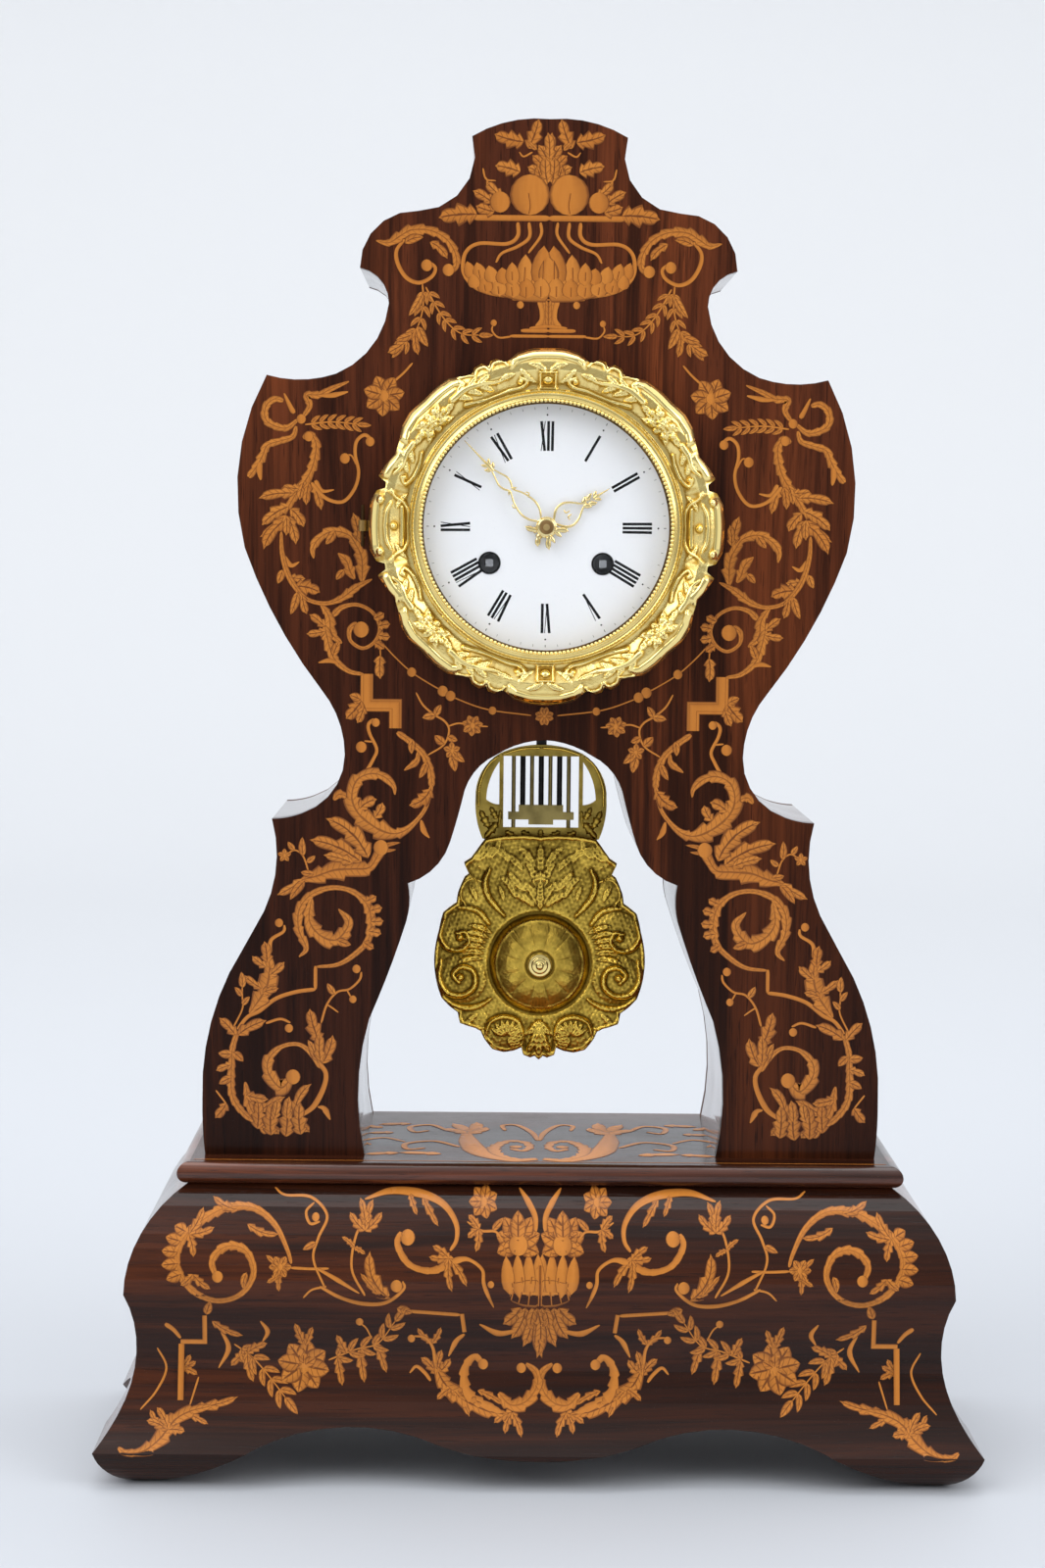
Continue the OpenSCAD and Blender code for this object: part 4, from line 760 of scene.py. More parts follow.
CASE_LEAVES = (  # base, tip and width; a sixth figure bends the leaf
    (33, 434.6, 50.6, 433, 9.4), (25, 436, 33.6, 438.6, 6), (26, 440, 35, 445.4, 5.4),
    (22, 443, 29, 449.6, 5), (13.5, 454, 25, 456.8, 7.4), (12, 467.6, 25.4, 471, 7.8),
    (10, 464.6, 5.2, 478, 6.8), (6, 464, 10, 468, 2), (1.6, 447, 9.4, 450.6, 6, 0.1),
    (1.4, 450, 10.2, 456.4, 6.4, 0.08), (1, 453, 8, 461.6, 6.2, 0.06), (2, 447, 5.6, 456.6, 5.6),
    (0.6, 457, 5.4, 466.4, 5.4, 0.06), (1, 449, 2, 461, 6), (0.4, 460, 1, 472, 5.4),
    (66, 421.4, 57.4, 424, 3.6, -0.1), (54.4, 422, 46.4, 414.4, 4.2, -0.1), (66, 376, 73.4, 371.6, 4.6),
    (59.6, 384, 55, 374.4, 3.6), (57.4, 399, 64, 388.4, 3.2), (61, 381, 59.4, 370.6, 4),
    (62, 380, 69.6, 377.6, 3.4), (113.6, 309, 121.8, 309.2, 4.2), (115.6, 307, 132.2, 304.6, 5.4, 0.06),
    (118, 301, 130.6, 292.2, 6.4, 0.08), (119.4, 297, 131.6, 286.8, 4.4),
    (119.4, 295, 129.9, 281.2, 6, 0.1), (117.6, 300, 111.4, 291.6, 5.4, -0.08),
    (119, 296.6, 115, 283.6, 5.2, -0.06), (119.6, 297, 119.5, 287.6, 4), (109, 312, 110.3, 301.6, 4.2),
    (107.5, 312, 103.4, 299.4, 4.6), (111, 313, 113.4, 304, 4.4), (121, 272, 123.4, 265.6, 3.2),
    (117.6, 268.6, 110.6, 268, 4.2), (115, 264.4, 103.8, 261.6, 7, -0.08),
    (112, 260.4, 109.8, 251.6, 4.2), (114, 262, 117.4, 251.4, 3.4), (86, 285, 88.8, 298.4, 5.4),
    (85.4, 284.6, 84.4, 294.4, 4), (92.6, 272, 96.4, 267.6, 3), (97, 290, 101.4, 283.8, 3.4),
    (79, 250, 74.2, 252.4, 4.4), (77, 246.4, 71.4, 247.4, 4.6), (76.8, 242.4, 71.4, 241.6, 4.6),
    (78.4, 238.8, 74, 236, 4.2), (82, 119, 77, 121.4, 4.4), (80, 114.4, 74.2, 116, 4.8),
    (79.6, 109.6, 73.6, 110, 4.8), (80.4, 105, 74.6, 103.8, 4.8), (82.6, 100, 78, 97, 4.2),
    (97.6, 232.6, 94.6, 239.6, 3.4), (101.6, 246, 108.6, 251.6, 4.4), (101, 244, 110, 242.6, 4.2),
    (75.7, 233, 75.8, 222, 5.2), (84.4, 212, 91.6, 203.6, 7.4), (84.8, 212.4, 90, 214.6, 3.6),
    (83.4, 209, 86.4, 201.6, 4.4), (85, 162, 77, 166.4, 6, -0.1), (78, 158, 74.4, 165, 5, 0.08),
    (52.3, 171.4, 62.2, 163.8, 6.6, -0.14), (54, 184, 57.6, 176.4, 3), (60.6, 194.4, 61.2, 187.6, 3),
    (50.4, 205.4, 47.6, 210.4, 3), (50, 205.2, 56.4, 204.4, 3.2), (46, 192.4, 50.4, 196.4, 3.6),
    (44.6, 196, 40, 194, 3), (43, 187, 41, 179.6, 3.6), (43, 190, 36.6, 184, 3.4),
    (111, 129, 123, 121.6, 4.4), (110, 128.4, 117, 119.4, 3.6), (106, 131.4, 112, 132.4, 3),
    (84, 137, 108, 147.4, 8.4, 0.08), (81, 139, 100.6, 157.4, 9, 0.12), (88, 136.6, 101.6, 140.4, 5),
    (76, 144, 66, 146.4, 1.8), (75.6, 142.8, 68, 143.2, 1.5), (111, 139.7, 111.3, 148.6, 3),
    (109.4, 137, 105.4, 140, 2.4), (115, 142.5, 118, 146.4, 2.4), (95.3, 101, 88.6, 98.6, 3.4),
    (141, 56, 127.6, 62.9, 5.6, -0.06), (142, 56, 149.6, 64, 5), (143.4, 47, 150, 47.6, 3.6),
    (143.6, 42, 151, 39.2, 4), (143, 48, 138.4, 43.6, 3.4), (143.6, 36, 149.6, 33, 3.4),
    (130, 78, 138, 84, 4), (126.6, 84, 119.4, 90.4, 4.6), (128, 88, 134.4, 93, 4),
    (127.6, 90, 128.8, 100, 5.4), (129.6, 76, 122, 78, 4), (139, 74, 142.4, 78.4, 2.4),
    (138.9, 70, 135.4, 74, 2.4), (139, 78, 139.4, 85.6, 3), (146, 24, 151.4, 17, 5),
    (137, 28, 126.6, 25.9, 5), (131, 20, 118.8, 27.2, 4.6), (131, 15, 126.4, 9.8, 4.4),
    (126, 14, 121.6, 9.6, 4.2), (119, 15, 116, 9.8, 4.2), (114, 16, 107.4, 10.6, 4.6),
    (114, 19, 106.6, 33.4, 5, -0.14), (118, 17, 116.8, 27.4, 4.6), (124, 17, 122.4, 26, 4.6),
    (103, 53, 107.6, 68.6, 7), (101.8, 43, 96.8, 56.4, 6, 0.06), (102.6, 44, 102.6, 57.6, 5.4),
    (104, 44, 108.4, 54, 3.6), (96, 75.4, 99.4, 80.6, 2.8), (131.8, 12, 131.6, 25.4, 6.6),
    (125.4, 9, 124.6, 24.6, 7.4), (118.6, 8.4, 118.2, 25.4, 7.4), (111.6, 9.4, 112, 24.4, 7.4),
)
CASE_BLADES = (  # smooth leaves of the bowl: base, tip and width
    (35, 405.4, 37.4, 413.4, 5.4), (30.4, 404.4, 33, 413, 6.2), (25.4, 403.6, 27.4, 411.6, 6.4),
    (20.6, 403, 21.4, 410.8, 6.6), (16.4, 402.6, 16.8, 413.2, 6.4), (11, 402, 10.6, 416.8, 7.6),
    (4, 402, 2.2, 420.8, 9.4), (0.3, 402, 0.2, 416, 8.6), (3.4, 396.8, 3.4, 406.6, 8.2),
    (10, 396.8, 10.2, 406, 8), (16.4, 397, 17, 405.6, 7.8), (22.6, 397.6, 23.4, 405.8, 7.6),
    (28.6, 398.8, 29.6, 406.4, 7), (33.6, 401, 34.8, 407.8, 5.6),
)
CASE_CUTS = (  # engraved lines
    (9.2, 435.2, 8.6, 439, 9.4, 444.6), (3.4, 397.6, 3.4, 402.4), (10, 397.6, 10.1, 402),
    (16.4, 398, 16.8, 402), (22.6, 398.8, 23, 402.2), (28.6, 400, 29.2, 403), (2.4, 405.6, 2.2, 414),
    (11, 404.6, 10.7, 411), (16.5, 405, 16.7, 409), (31, 405.6, 32, 409.6),
)
CASE_BALLS = (  # centre and radius
    (22.6, 440.4, 4.8), (9, 443.8, 9.2), (12.9, 393.9, 1.7), (25, 385.6, 1.5), (55.8, 411.4, 2.7),
    (45.9, 409.4, 2.8), (112.8, 341, 2.2), (109.4, 333, 2.2), (81.2, 331, 2.2), (92.7, 323.2, 2.4),
    (84.8, 244.8, 3.7), (77.8, 202, 2), (84.4, 190.6, 2.6), (61.4, 225.4, 2.2), (47, 216.8, 2.5),
    (43.4, 214.6, 2.4), (24, 208, 1.9), (75, 144, 3.6), (122, 108.6, 2), (117.2, 59.4, 2),
    (115.2, 36.6, 3.5), (86, 87.4, 2), (87.6, 73.2, 1.8),
)
CASE_FLOWERS = (  # centre, radius, petals
    (75, 352, 9.6, 7), (0.02, 205.6, 4.4, 4), (33.2, 201, 5, 7), (42.6, 189.4, 4, 5),
    (119.6, 140, 3.2, 5),
)
CASE_SPRIGS = (  # length of a leaf, pairs of leaves, then the points of the stem
    (6.4, 5, (57.7, 403, 57.2, 395.7, 58.1, 388.5, 60.9, 381.3, 67.2, 374)),
    (6, 7, (56.2, 401.6, 50.3, 391, 44.5, 383.8, 38.7, 380.3, 31, 380)),
    (5.8, 6, (111, 338.5, 98.8, 339.8, 86.4, 338.8)),
)
CASE_STRAPS = (  # width, then the corners
    (6, (82, 224.4, 82, 210, 68.7, 210, 68.7, 199.4)),
)


ENGRAVED = (3.1, 12)  # widths between which a stem has engraved veins
LEAF_WIDER = 1.15  # the leaves are cut this much wider than listed
TWO_LOBES, THREE_LOBES = 4.2, 7  # widths from which a leaf has more lobes


def pairs(figures):
    return np.reshape(figures, (-1, 2))


def case_marquetry(m):
    """Draws the tables of the case; tones step through a few values so that neighbours differ."""
    for width, points in CASE_STRAPS:
        m.strap(pairs(points), width)
        for share in (-0.27, 0.27):
            m.strap(pairs(points), 0.45, 0.0, share * width)
    for k, (widths, points) in enumerate(CASE_STEMS):
        veins = 0.75 if ENGRAVED[0] < max(widths) < ENGRAVED[1] else 0.0
        m.stem(pairs(points), *widths, tone=0.35 + 0.1 * (k % 4), veins=veins)
    for size, count, points in CASE_SPRIGS:
        m.sprig(pairs(points), size, count)
    for k, leaf in enumerate(CASE_LEAVES):
        width = LEAF_WIDER * leaf[4]
        lobes = 1 if width < TWO_LOBES else 2 if width < THREE_LOBES else 3
        bend = leaf[5] if len(leaf) > 5 else 0.04 * (-1) ** k
        m.leaf(*leaf[:4], width, bend, lobes, 0.25 + 0.13 * (k % 5))
    for k, blade in enumerate(CASE_BLADES):
        m.leaf(*blade, 0.0, 1, 0.2 + 0.3 * (k % 3), 0.0)
    for k, (x, z, r) in enumerate(CASE_BALLS):
        m.ball(x, z, r, 0.35 + 0.15 * (k % 3))
    for x, z, r, petals in CASE_FLOWERS:
        m.flower(x, z, r, petals, 0.3)
    for points in CASE_CUTS:
        m.cut(pairs(points))


def base_marquetry(m):
    """Marquetry of the base, in distances from the middle and heights below the shelf."""
    # Upper band, from the end to the middle
    m.stem([(113, -42), (115, -36), (120, -27), (127, -21), (135, -18.6), (146, -20), (158, -27),
           (163.5, -34), (165, -42), (161.5, -50), (155, -56), (147, -59), (139, -57.6), (133, -53),
           (130, -45.5), (133, -37.5), (139, -34.6), (145, -36), (149, -41.5), (146.6, -48.6)], 1.6, 2.6,
           3.4, 4.4, 3.4, 3.6, 3.0, 2.6, 3.2, 4.4, 2.4, tone=0.5, veins=0.5)
    for x0, z0, x, z in ((161.4, -29, 166.6, -26.4), (163.4, -33, 170.4, -31), (164.6, -37.6, 172, -36.8),
                         (164.4, -42.4, 172, -43), (162.8, -47, 169.6, -49.4)):
        m.leaf(x0, z0, x, z, 5.6, 0, 1, 0.4)
    m.fan(160, -30, 5.0, (148.5, -27), (157.5, -39.5), (154, -19))
    m.fan(157.5, -47, 4.6, (149.5, -53.5), (163, -52))
    m.leaf(133.5, -25.5, 119, -29.6, 4.2, 0.1)
    m.leaf(138, -20, 150, -14.8, 4.4, -0.08)
    m.leaf(133, -46, 134.4, -53.5, 3.2, 0.1, 1)
    m.ball(146.4, -48, 2.6)
    m.flower(118, -43.5, 5.2, 6)
    m.fan(118, -46, 3.6, (118.4, -54.4), (124, -50.4), (124.6, -38.4))
    m.stem([(113, -43.8), (104, -44.2), (96, -44)], 1.4, 1.2)
    m.stem([(122, -11.5), (117, -14.2), (105, -15), (97.4, -22), (101, -31), (103, -40), (97.4, -53)], 0.9,
           1.2, 1.4, 1.2, 1.0)
    m.stem([(103.5, -17), (107, -20.5), (105, -25.2), (100.6, -24.4)], 1.0, 1.4, 1.2)
    m.ball(102.6, -22.6, 1.8)
    m.leaf(102, -33, 108, -36, 3.0, 0, 1)
    m.stem([(107.5, -57.2), (103.5, -53.5), (97, -52)], 0.9, 1.2)
    m.stem([(101.5, -43.8), (92, -49), (82, -55)], 1.2, 2.2, 0.8)
    m.stem([(100, -52), (90, -57.2), (80, -60), (70, -59.3), (62, -53), (62.4, -49.4)], 1.4, 1.8, 2.2, 1.8,
           1.2)
    m.ball(65.2, -51.6, 2.8)
    m.leaf(68, -57.4, 77.4, -36.4, 8.0, -0.16)
    m.leaf(73.5, -55.5, 81.6, -46, 3.6)
    m.stem([(79.5, -56), (85.6, -44), (84, -30), (80, -25)], 1.2, 1.2, 1.2)
    m.fan(80, -28, 5.0, (72.4, -20.5), (76.6, -15.6), (82.6, -15), (87, -20.6))
    m.fan(84.6, -35, 3.0, (90.4, -30.5), (79.6, -37.8))
    m.stem([(80.5, -15.6), (70, -12.6), (60, -12.6), (50, -14.6), (43, -18.4), (38.4, -25), (38.2, -31.5),
            (41, -36)], 1.0, 2.6, 3.4, 3.0, 2.4, 1.6)
    m.leaf(54, -14.6, 46.6, -26, 4.0)
    m.leaf(60, -13.4, 56.4, -21.6, 3.6)
    m.stem([(63.5, -28.4), (65, -33.6), (60, -41.6), (52, -44.6), (45, -43.4), (40, -38.6)], 2.6, 3.2, 2.8,
           3.4, 3.8, tone=0.5)
    m.ball(60.4, -30.6, 3.4)
    m.fan(41.6, -39.4, 4.6, (49, -34), (50.6, -38.6), (40, -54), (33.4, -51.6))
    m.stem([(40, -40.6), (33, -39.6), (26.4, -44), (25.4, -51), (21, -61.4)], 3.6, 1.6, 1.6, 2.0, 0.8)
    m.ball(22.4, -50.6, 1.6)
    m.flower(26, -16.2, 6.8, 7)
    m.stem([(33.4, -24), (27, -27.6), (20.4, -28), (17, -32)], 0.9, 1.2, 0.9)
    m.fan(28, -27, 4.4, (33, -30.6), (29.4, -36.4), (33, -21.4))
    m.leaf(22, -27.5, 16.8, -22.4, 3.0, 0, 1)
    # Bouquet in the middle
    m.stem([(2.2, -28), (2.4, -22), (5.4, -16.4), (9.6, -11)], 1.8, 2.6, 2.8, 1.0)
    m.stem([(0, -55), (8, -54.6), (13.4, -53.6)], 13.4, 12.6, 8, tone=0.7)
    for x, low, high, top in ((0.8, -57, -37, 1), (5, -57, -36.6, 5.4), (9.6, -56.6, -37, 10.4),
                              (14, -55, -38, 15.6)):
        m.leaf(x, low, top, high, 6.0, 0, 1, 0.6, 0.0)
    for reach, count, width in ((12.6, 7, 7.4), (9, 6, 6)):
        for k in range(count):
            a = math.radians(-112 + 224 * k / (count - 1))
            m.leaf(10.2 + 1.2 * math.sin(a), -33 + 1.2 * math.cos(a), 10.2 + 0.82 * reach * math.sin(a),
                   -32.0 + reach * math.cos(a), width, 0, 1, 0.35 + 0.2 * (k % 2))
    m.ball(10, -33.4, 4.6, 0.8)
    m.cut([(0.5, -42), (0.5, -60.6)])
    m.cut([(4, -46), (5.2, -60)])
    m.cut([(8.6, -46), (8.2, -52), (9.6, -59)])
    m.cut([(12.6, -45), (12, -52), (13, -57.6)])
    for x, x1, z1, width in ((8.6, 16.8, -69.6, 7.6), (6.4, 13, -76.6, 7.8), (3.4, 7.6, -80.4, 7.4),
                             (1.4, 1.2, -85.6, 7.4)):
        m.leaf(x, -61.4, x1, z1, width, -0.08, 2, 0.45)
    m.leaf(2.4, -62, 4.4, -72, 5.0, 0.04, 1)
    m.stem([(11, -73), (19, -74), (27.4, -69.8)], 1.8, 3.0, 0.9)
    # Lower band
    m.stem([(170.4, -70.6), (166.6, -73.4), (163.4, -77.4)], 2.4, 2.0, 1.6)
    m.strap([(163.4, -79), (152.4, -79), (152.4, -66.5)], 2.2)
    m.strap([(163, -80), (163, -105)], 2.8)
    m.leaf(151.8, -66, 149.6, -59.4, 4.0, 0, 1)
    m.stem([(174, -82), (169.8, -91), (174, -101), (181, -109)], 0.9, 1.2, 0.8)
    m.fan(163, -91, 4.2, (156.4, -88), (155.6, -94), (159, -85))
    m.stem([(155, -95), (158.6, -107)], 1.0, 0.8)
    m.stem([(190, -124), (186, -126), (178, -125), (171, -120), (165, -113), (158, -109.4), (149, -107.4)],
           2.0, 3.6, 5.6, 7.0, 6.4, 4.4, 1.8, tone=0.45, veins=0.8)
    m.fan(168, -117, 5.0, (178, -113.4), (160.4, -117.6), (173.6, -108))
    m.leaf(172, -117, 176.6, -109, 4.0)
    m.leaf(157, -108, 137, -103.4, 5.0, 0.05)
    m.leaf(160, -110, 150, -114.6, 3.6)
    m.stem([(145, -73.6), (141.6, -82), (146, -91)], 1.2, 2.6, 0.8)
    m.leaf(149, -69, 135, -76, 4.4, 0.08)
    m.stem([(127, -69), (123.8, -74), (126.2, -79)], 1.0, 2.4, 0.8)
    m.sprig([(139, -80), (132, -85), (126, -91), (115, -104)], 8.4, 5)
    m.fan(133, -84, 5.2, (140.4, -90), (124, -79.6), (130, -97))
    m.flower(107.4, -89.6, 12.0, 8, 0.2)
    m.flower(107.4, -89.6, 6.4, 6, 0.5, 0.3)
    m.leaf(107.5, -80, 111.4, -70, 4.8)
    m.leaf(106.5, -80, 103.4, -71.6, 4.4)
    m.sprig([(96, -87), (83.4, -82), (73.4, -79), (65.4, -68)], 8.0, 6)
    m.leaf(92, -86, 89.6, -98.4, 5.0)
    m.leaf(88, -84, 92.4, -75.4, 4.8)
    m.leaf(82, -82, 79.6, -97, 5.4)
    m.leaf(74, -79, 69.6, -92.6, 5.0)
    m.ball(82, -69, 1.8)
    m.stem([(76.4, -77), (79, -72), (81.4, -70)], 0.8, 0.8)
    m.stem([(62, -63.4), (36.4, -65.2)], 1.8, 1.8)
    m.strap([(35.4, -64.8), (34.2, -73.6)], 2.0)
    m.leaf(65, -62, 57.8, -64.4, 4.6, 0, 1)
    m.stem([(34.2, -74.6), (38, -78), (41.4, -85)], 1.6, 2.6, 0.9)
    m.stem([(57.4, -75.6), (52, -76.4), (48.6, -81), (47.4, -88)], 1.0, 1.4, 1.8)
    m.ball(58.4, -76.8, 1.8)
    m.fan(49, -79, 3.8, (45, -71.4), (55.6, -71.8))
    m.stem([(59, -92.6), (56, -89.6), (52, -92.6), (49.4, -96)], 1.0, 1.8, 1.6)
    m.fan(46.6, -93, 5.4, (54, -85.6), (44.4, -82), (40.6, -86))
    m.stem([(47, -90), (42.6, -97.6), (34, -104), (24, -108.4), (14.4, -110)], 4.0, 7.2, 7.4, 5.4, 2.4,
           tone=0.45, veins=1.0)
    m.fan(40, -99, 4.4, (46.4, -104), (31.6, -111))
    m.stem([(25.6, -88.6), (29.4, -85), (33.6, -89.6), (34, -96.6), (30.6, -103), (17.4, -109)], 2.6, 3.8,
           4.8, 4.6, 2.4, tone=0.55)
    m.ball(25.6, -88.4, 2.4)
    m.leaf(28, -100, 16.4, -106, 3.8, -0.05)
    m.stem([(18.4, -101), (13, -106), (6, -104.6), (1, -98), (1.4, -92), (6, -88)], 3.4, 6.0, 6.0, 4.2, 2.0,
           tone=0.5, veins=0.6)
    m.ball(8.2, -90, 2.3)
    m.fan(12.4, -109, 4.6, (15.4, -117.6), (8, -119), (20.4, -113.4))


def shelf_marquetry(m):
    """Scrolls on the shelf between the legs; the second figure is the depth behind its front."""
    m.stem([(0, 3.6), (160, 3.6)], 0.7, 0.7)
    m.stem([(1.6, 12), (10, 9), (19, 19), (21.4, 38), (15, 55), (7, 53), (4.4, 40), (8, 31), (13.4, 36)],
           3.4, 5.0, 6.4, 6.6, 6.0, 5.0, 4.6, 4.0, 3.4, tone=1.0)
    m.ball(11, 41, 3.2, 1.0)
    m.stem([(1, 9), (14, 7), (27, 22), (33, 50), (35, 78)], 3.0, 7, 12, 10, 4.0, tone=1.0)
    for tip in ((42, 102), (30, 106), (47, 88), (25, 92)):
        m.leaf(34, 74, *tip, 9, 0.05, 2, 1.0, 0.0)
    m.stem([(0.6, 58), (3, 78), (10, 98), (17, 97), (16, 84)], 2.0, 3.2, 3.2, 2.8, 2.0, tone=1.0)
    m.stem([(44, 82), (52, 97), (62, 92), (60, 78), (53, 82)], 2.2, 3.2, 3.2, 3, 2.0, tone=1.0)
    m.stem([(38, 40), (50, 54), (63, 47), (62, 33), (54, 36)], 2.2, 3.2, 3.2, 3, 2.0, tone=1.0)
    m.stem([(64, 52), (74, 62), (84, 54), (80, 44)], 2.0, 3.2, 3, 2.0, tone=1.0)
    for x0, y0, x1, y1, w in ((46, 21, 66, 24, 5.4), (66, 23, 82, 19, 4.6), (62, 100, 78, 97, 5.0),
                              (76, 88, 88, 96, 4.6), (84, 30, 92, 42, 4.6), (70, 76, 82, 74, 4.6)):
        m.leaf(x0, y0, x1, y1, 1.5 * w, 0.05, 2, 1.0, 0.0)


# Relief: cast ornament as a height field on a grid that is wrapped into a closed shell


def polar(r, degrees):
    return r * math.sin(math.radians(degrees)), r * math.cos(math.radians(degrees))


FACES_SAMPLED = 4000  # enough to tell which way a closed surface faces


def wrap(rows, poles=False):
    """Closed surface from rows of points that close on themselves; with poles, its ends are points."""
    count, size = rows.shape[:2]
    if poles:
        points = np.vstack([rows[0, :1], rows[1:-1].reshape(-1, 3), rows[-1, :1]])
        index = np.arange((count - 2) * size).reshape(count - 2, size) + 1
        last = len(points) - 1
        ring = np.roll(index, -1, 1)
        faces = np.stack([index[:-1], ring[:-1], ring[1:], index[1:]], 2).reshape(-1, 4).tolist()
        faces += [[0, int(b), int(a)] for a, b in zip(index[0], ring[0])]
        faces += [[last, int(a), int(b)] for a, b in zip(index[-1], ring[-1])]
    else:
        points = rows.reshape(-1, 3)
        index = np.arange(count * size).reshape(count, size)
        down = np.roll(index, -1, 0)
        corners = [index, np.roll(index, -1, 1), np.roll(down, -1, 1), down]
        faces = np.stack(corners, 2).reshape(-1, 4).tolist()
    middle = points.mean(0)
    volume = 0.0
    for f in faces[:: max(1, len(faces) // FACES_SAMPLED)]:
        a, b, c = points[f[0]] - middle, points[f[1]] - middle, points[f[2]] - middle
        volume += float(a @ np.cross(b, c))
    if volume < 0:
        faces = [f[::-1] for f in faces]
    return points, faces


class Relief:
    """Heights in mm over a flat grid of points, raised by strokes, leaves and balls."""

    def __init__(self, x, z, ground):
        self.x, self.z, self.ground, self.rise = x, z, ground, np.zeros_like(ground)

    def reach(self, path):
        """Distance from every grid point to a path, and how far along it the nearest point lies."""
        steps = run_of(path)
        best, part = np.full(self.x.shape, 1e9), np.zeros(self.x.shape)
        for i in range(len(path) - 1):
            a, d = path[i], path[i + 1] - path[i]
            t = np.clip(((self.x - a[0]) * d[0] + (self.z - a[1]) * d[1]) / max(d @ d, 1e-9), 0, 1)
            gap = np.hypot(self.x - a[0] - t * d[0], self.z - a[1] - t * d[1])
            near = gap < best
            best = np.where(near, gap, best)
            part = np.where(near, (steps[i] + t * (steps[i + 1] - steps[i])) / steps[-1], part)
        return best, part

    def lift(self, rise):
        self.rise = np.maximum(self.rise, rise)

    def ridge(self, points, widths, height, groove=0.0):
        gap, part = self.reach(smooth_path(points, 1.3))
        half = np.interp(part, np.linspace(0, 1, len(widths)), widths) / 2
        u = np.clip(1 - (gap / half) ** 2, 0, 1)
        grooved = 1 - groove * np.exp(-((gap / half) ** 2) * 9)
        self.lift(height * (half / max(widths) * 2) ** 0.5 * u**0.6 * grooved)

    def leaf(self, base, tip, width, height, bend=0.0, lobes=4):
        base, tip = np.array(base, float), np.array(tip, float)
        way = tip - base
        side = np.array([-way[1], way[0]])
        t = np.linspace(0, 1, 9)[:, None]
        gap, part = self.reach(base + way * t + side * bend * 4 * t * (1 - t))
        fold = np.mod(part * lobes + 0.3, 1.0)
        half = width / 2 * (np.sin(np.pi * np.clip(part * 0.92 + 0.06, 0, 1)) ** 0.7) * (0.72 + 0.28 * fold)
        u = np.clip(1 - (gap / np.maximum(half, 0.05)) ** 2, 0, 1)
        vein = 0.16 * np.cos(2 * np.pi * (part * lobes * 2 - 0.9 * gap / np.maximum(half, 0.1)))
        rib = 0.34 * np.exp(-((gap / (0.13 * width)) ** 2))
        self.lift(height * u**0.45 * (0.86 - rib + vein) * (0.7 + 0.5 * part * (1.25 - part)))

    def ball(self, x, z, r, height, flat=1.0):
        gap = np.hypot(self.x - x, (self.z - z) / flat) / r
        self.lift(height * np.sqrt(np.clip(1 - gap**2, 0, 1)))

    def flower(self, x, z, r, height, petals=6):
        angle = np.arctan2(self.x - x, self.z - z)
        gap = np.hypot(self.x - x, self.z - z) / r
        edge = 0.80 + 0.20 * np.abs(np.cos(angle * petals / 2))
        u = np.clip(1 - (gap / edge) ** 4, 0, 1)
        self.lift(height * u**0.5 * (0.62 + 0.38 * np.abs(np.cos(angle * petals / 2))) * (0.75 + 0.3 * gap))
        self.ball(x, z, r * 0.3, height * 1.05)

    def heights(self, matting, seed):
        """Ground with the ornament on it; the low ground is punched."""
        punch = np.random.default_rng(seed).random(self.x.shape)
        low = np.clip(1 - self.rise / 0.5, 0, 1)
        return self.ground + self.rise - matting * punch * low

    def cavity(self, spread):
        """Half where level, more on high places and less in hollows, for the material."""
        form = self.ground + self.rise
        soft = form.copy()
        for _ in range(spread):
            wide = np.pad(soft, 1, mode="edge")
            soft = (wide[:-2, 1:-1] + wide[2:, 1:-1] + wide[1:-1, :-2] + wide[1:-1, 2:]) / 4
        top = max(self.rise.max(), 1e-6)
        return np.clip(0.42 + 1.7 * (form - soft) / top + 0.30 * self.rise / top, 0, 1)


def turned(name, profile, centre_z, look, body, steps=192, stands_for=(), grey=(0.62, 0.5, 0.0)):
    """A piece turned about the line of the dial or the bob, from radius and y round a closed outline."""
    outline = np.asarray(profile, float)
    turn = np.linspace(0, 2 * np.pi, steps, endpoint=False)
    r = outline[:, :1] * np.ones(steps)
    y = outline[:, 1:] * np.ones(steps)
    rows = np.stack([r * np.sin(turn), y, centre_z + r * np.cos(turn)], 2)
    points, faces = wrap(rows, poles=bool(outline[0, 0] < 0.01))
    layers = {"cavity": np.tile(grey, (len(points), 1))}
    return piece(name, points, faces, look, body, True, layers, stands_for)


BEZEL_EDGE = [  # degrees from 12 o'clock and radius
    (0, 81.4), (5, 81.4), (10, 80.3), (13.8, 77.2), (15.2, 77.2), (17, 79.6), (19.2, 79.6), (20.3, 77.6),
    (22.2, 79.9), (25, 79.4), (26.4, 77.4), (29.0, 77.8), (34, 81.0), (39, 81.0), (44.6, 80.5), (50.5, 81.4),
    (55.6, 80.4), (60.8, 77.5), (65, 76.4), (69.7, 78.8), (73.6, 80.2), (74.8, 76.0), (76.9, 75.6),
    (78.2, 79.2), (82.3, 81.4), (90, 81.4),
]
BEZEL_INNER = 62.0
BEZEL_GROUND = [  # radius, and height over the flange
    (62, 9.4), (63, 8.5), (64.6, 8.3), (66.5, 9.4), (71.5, 12.2), (75, 11.8), (77.5, 10.4), (81.5, 6.4),
]


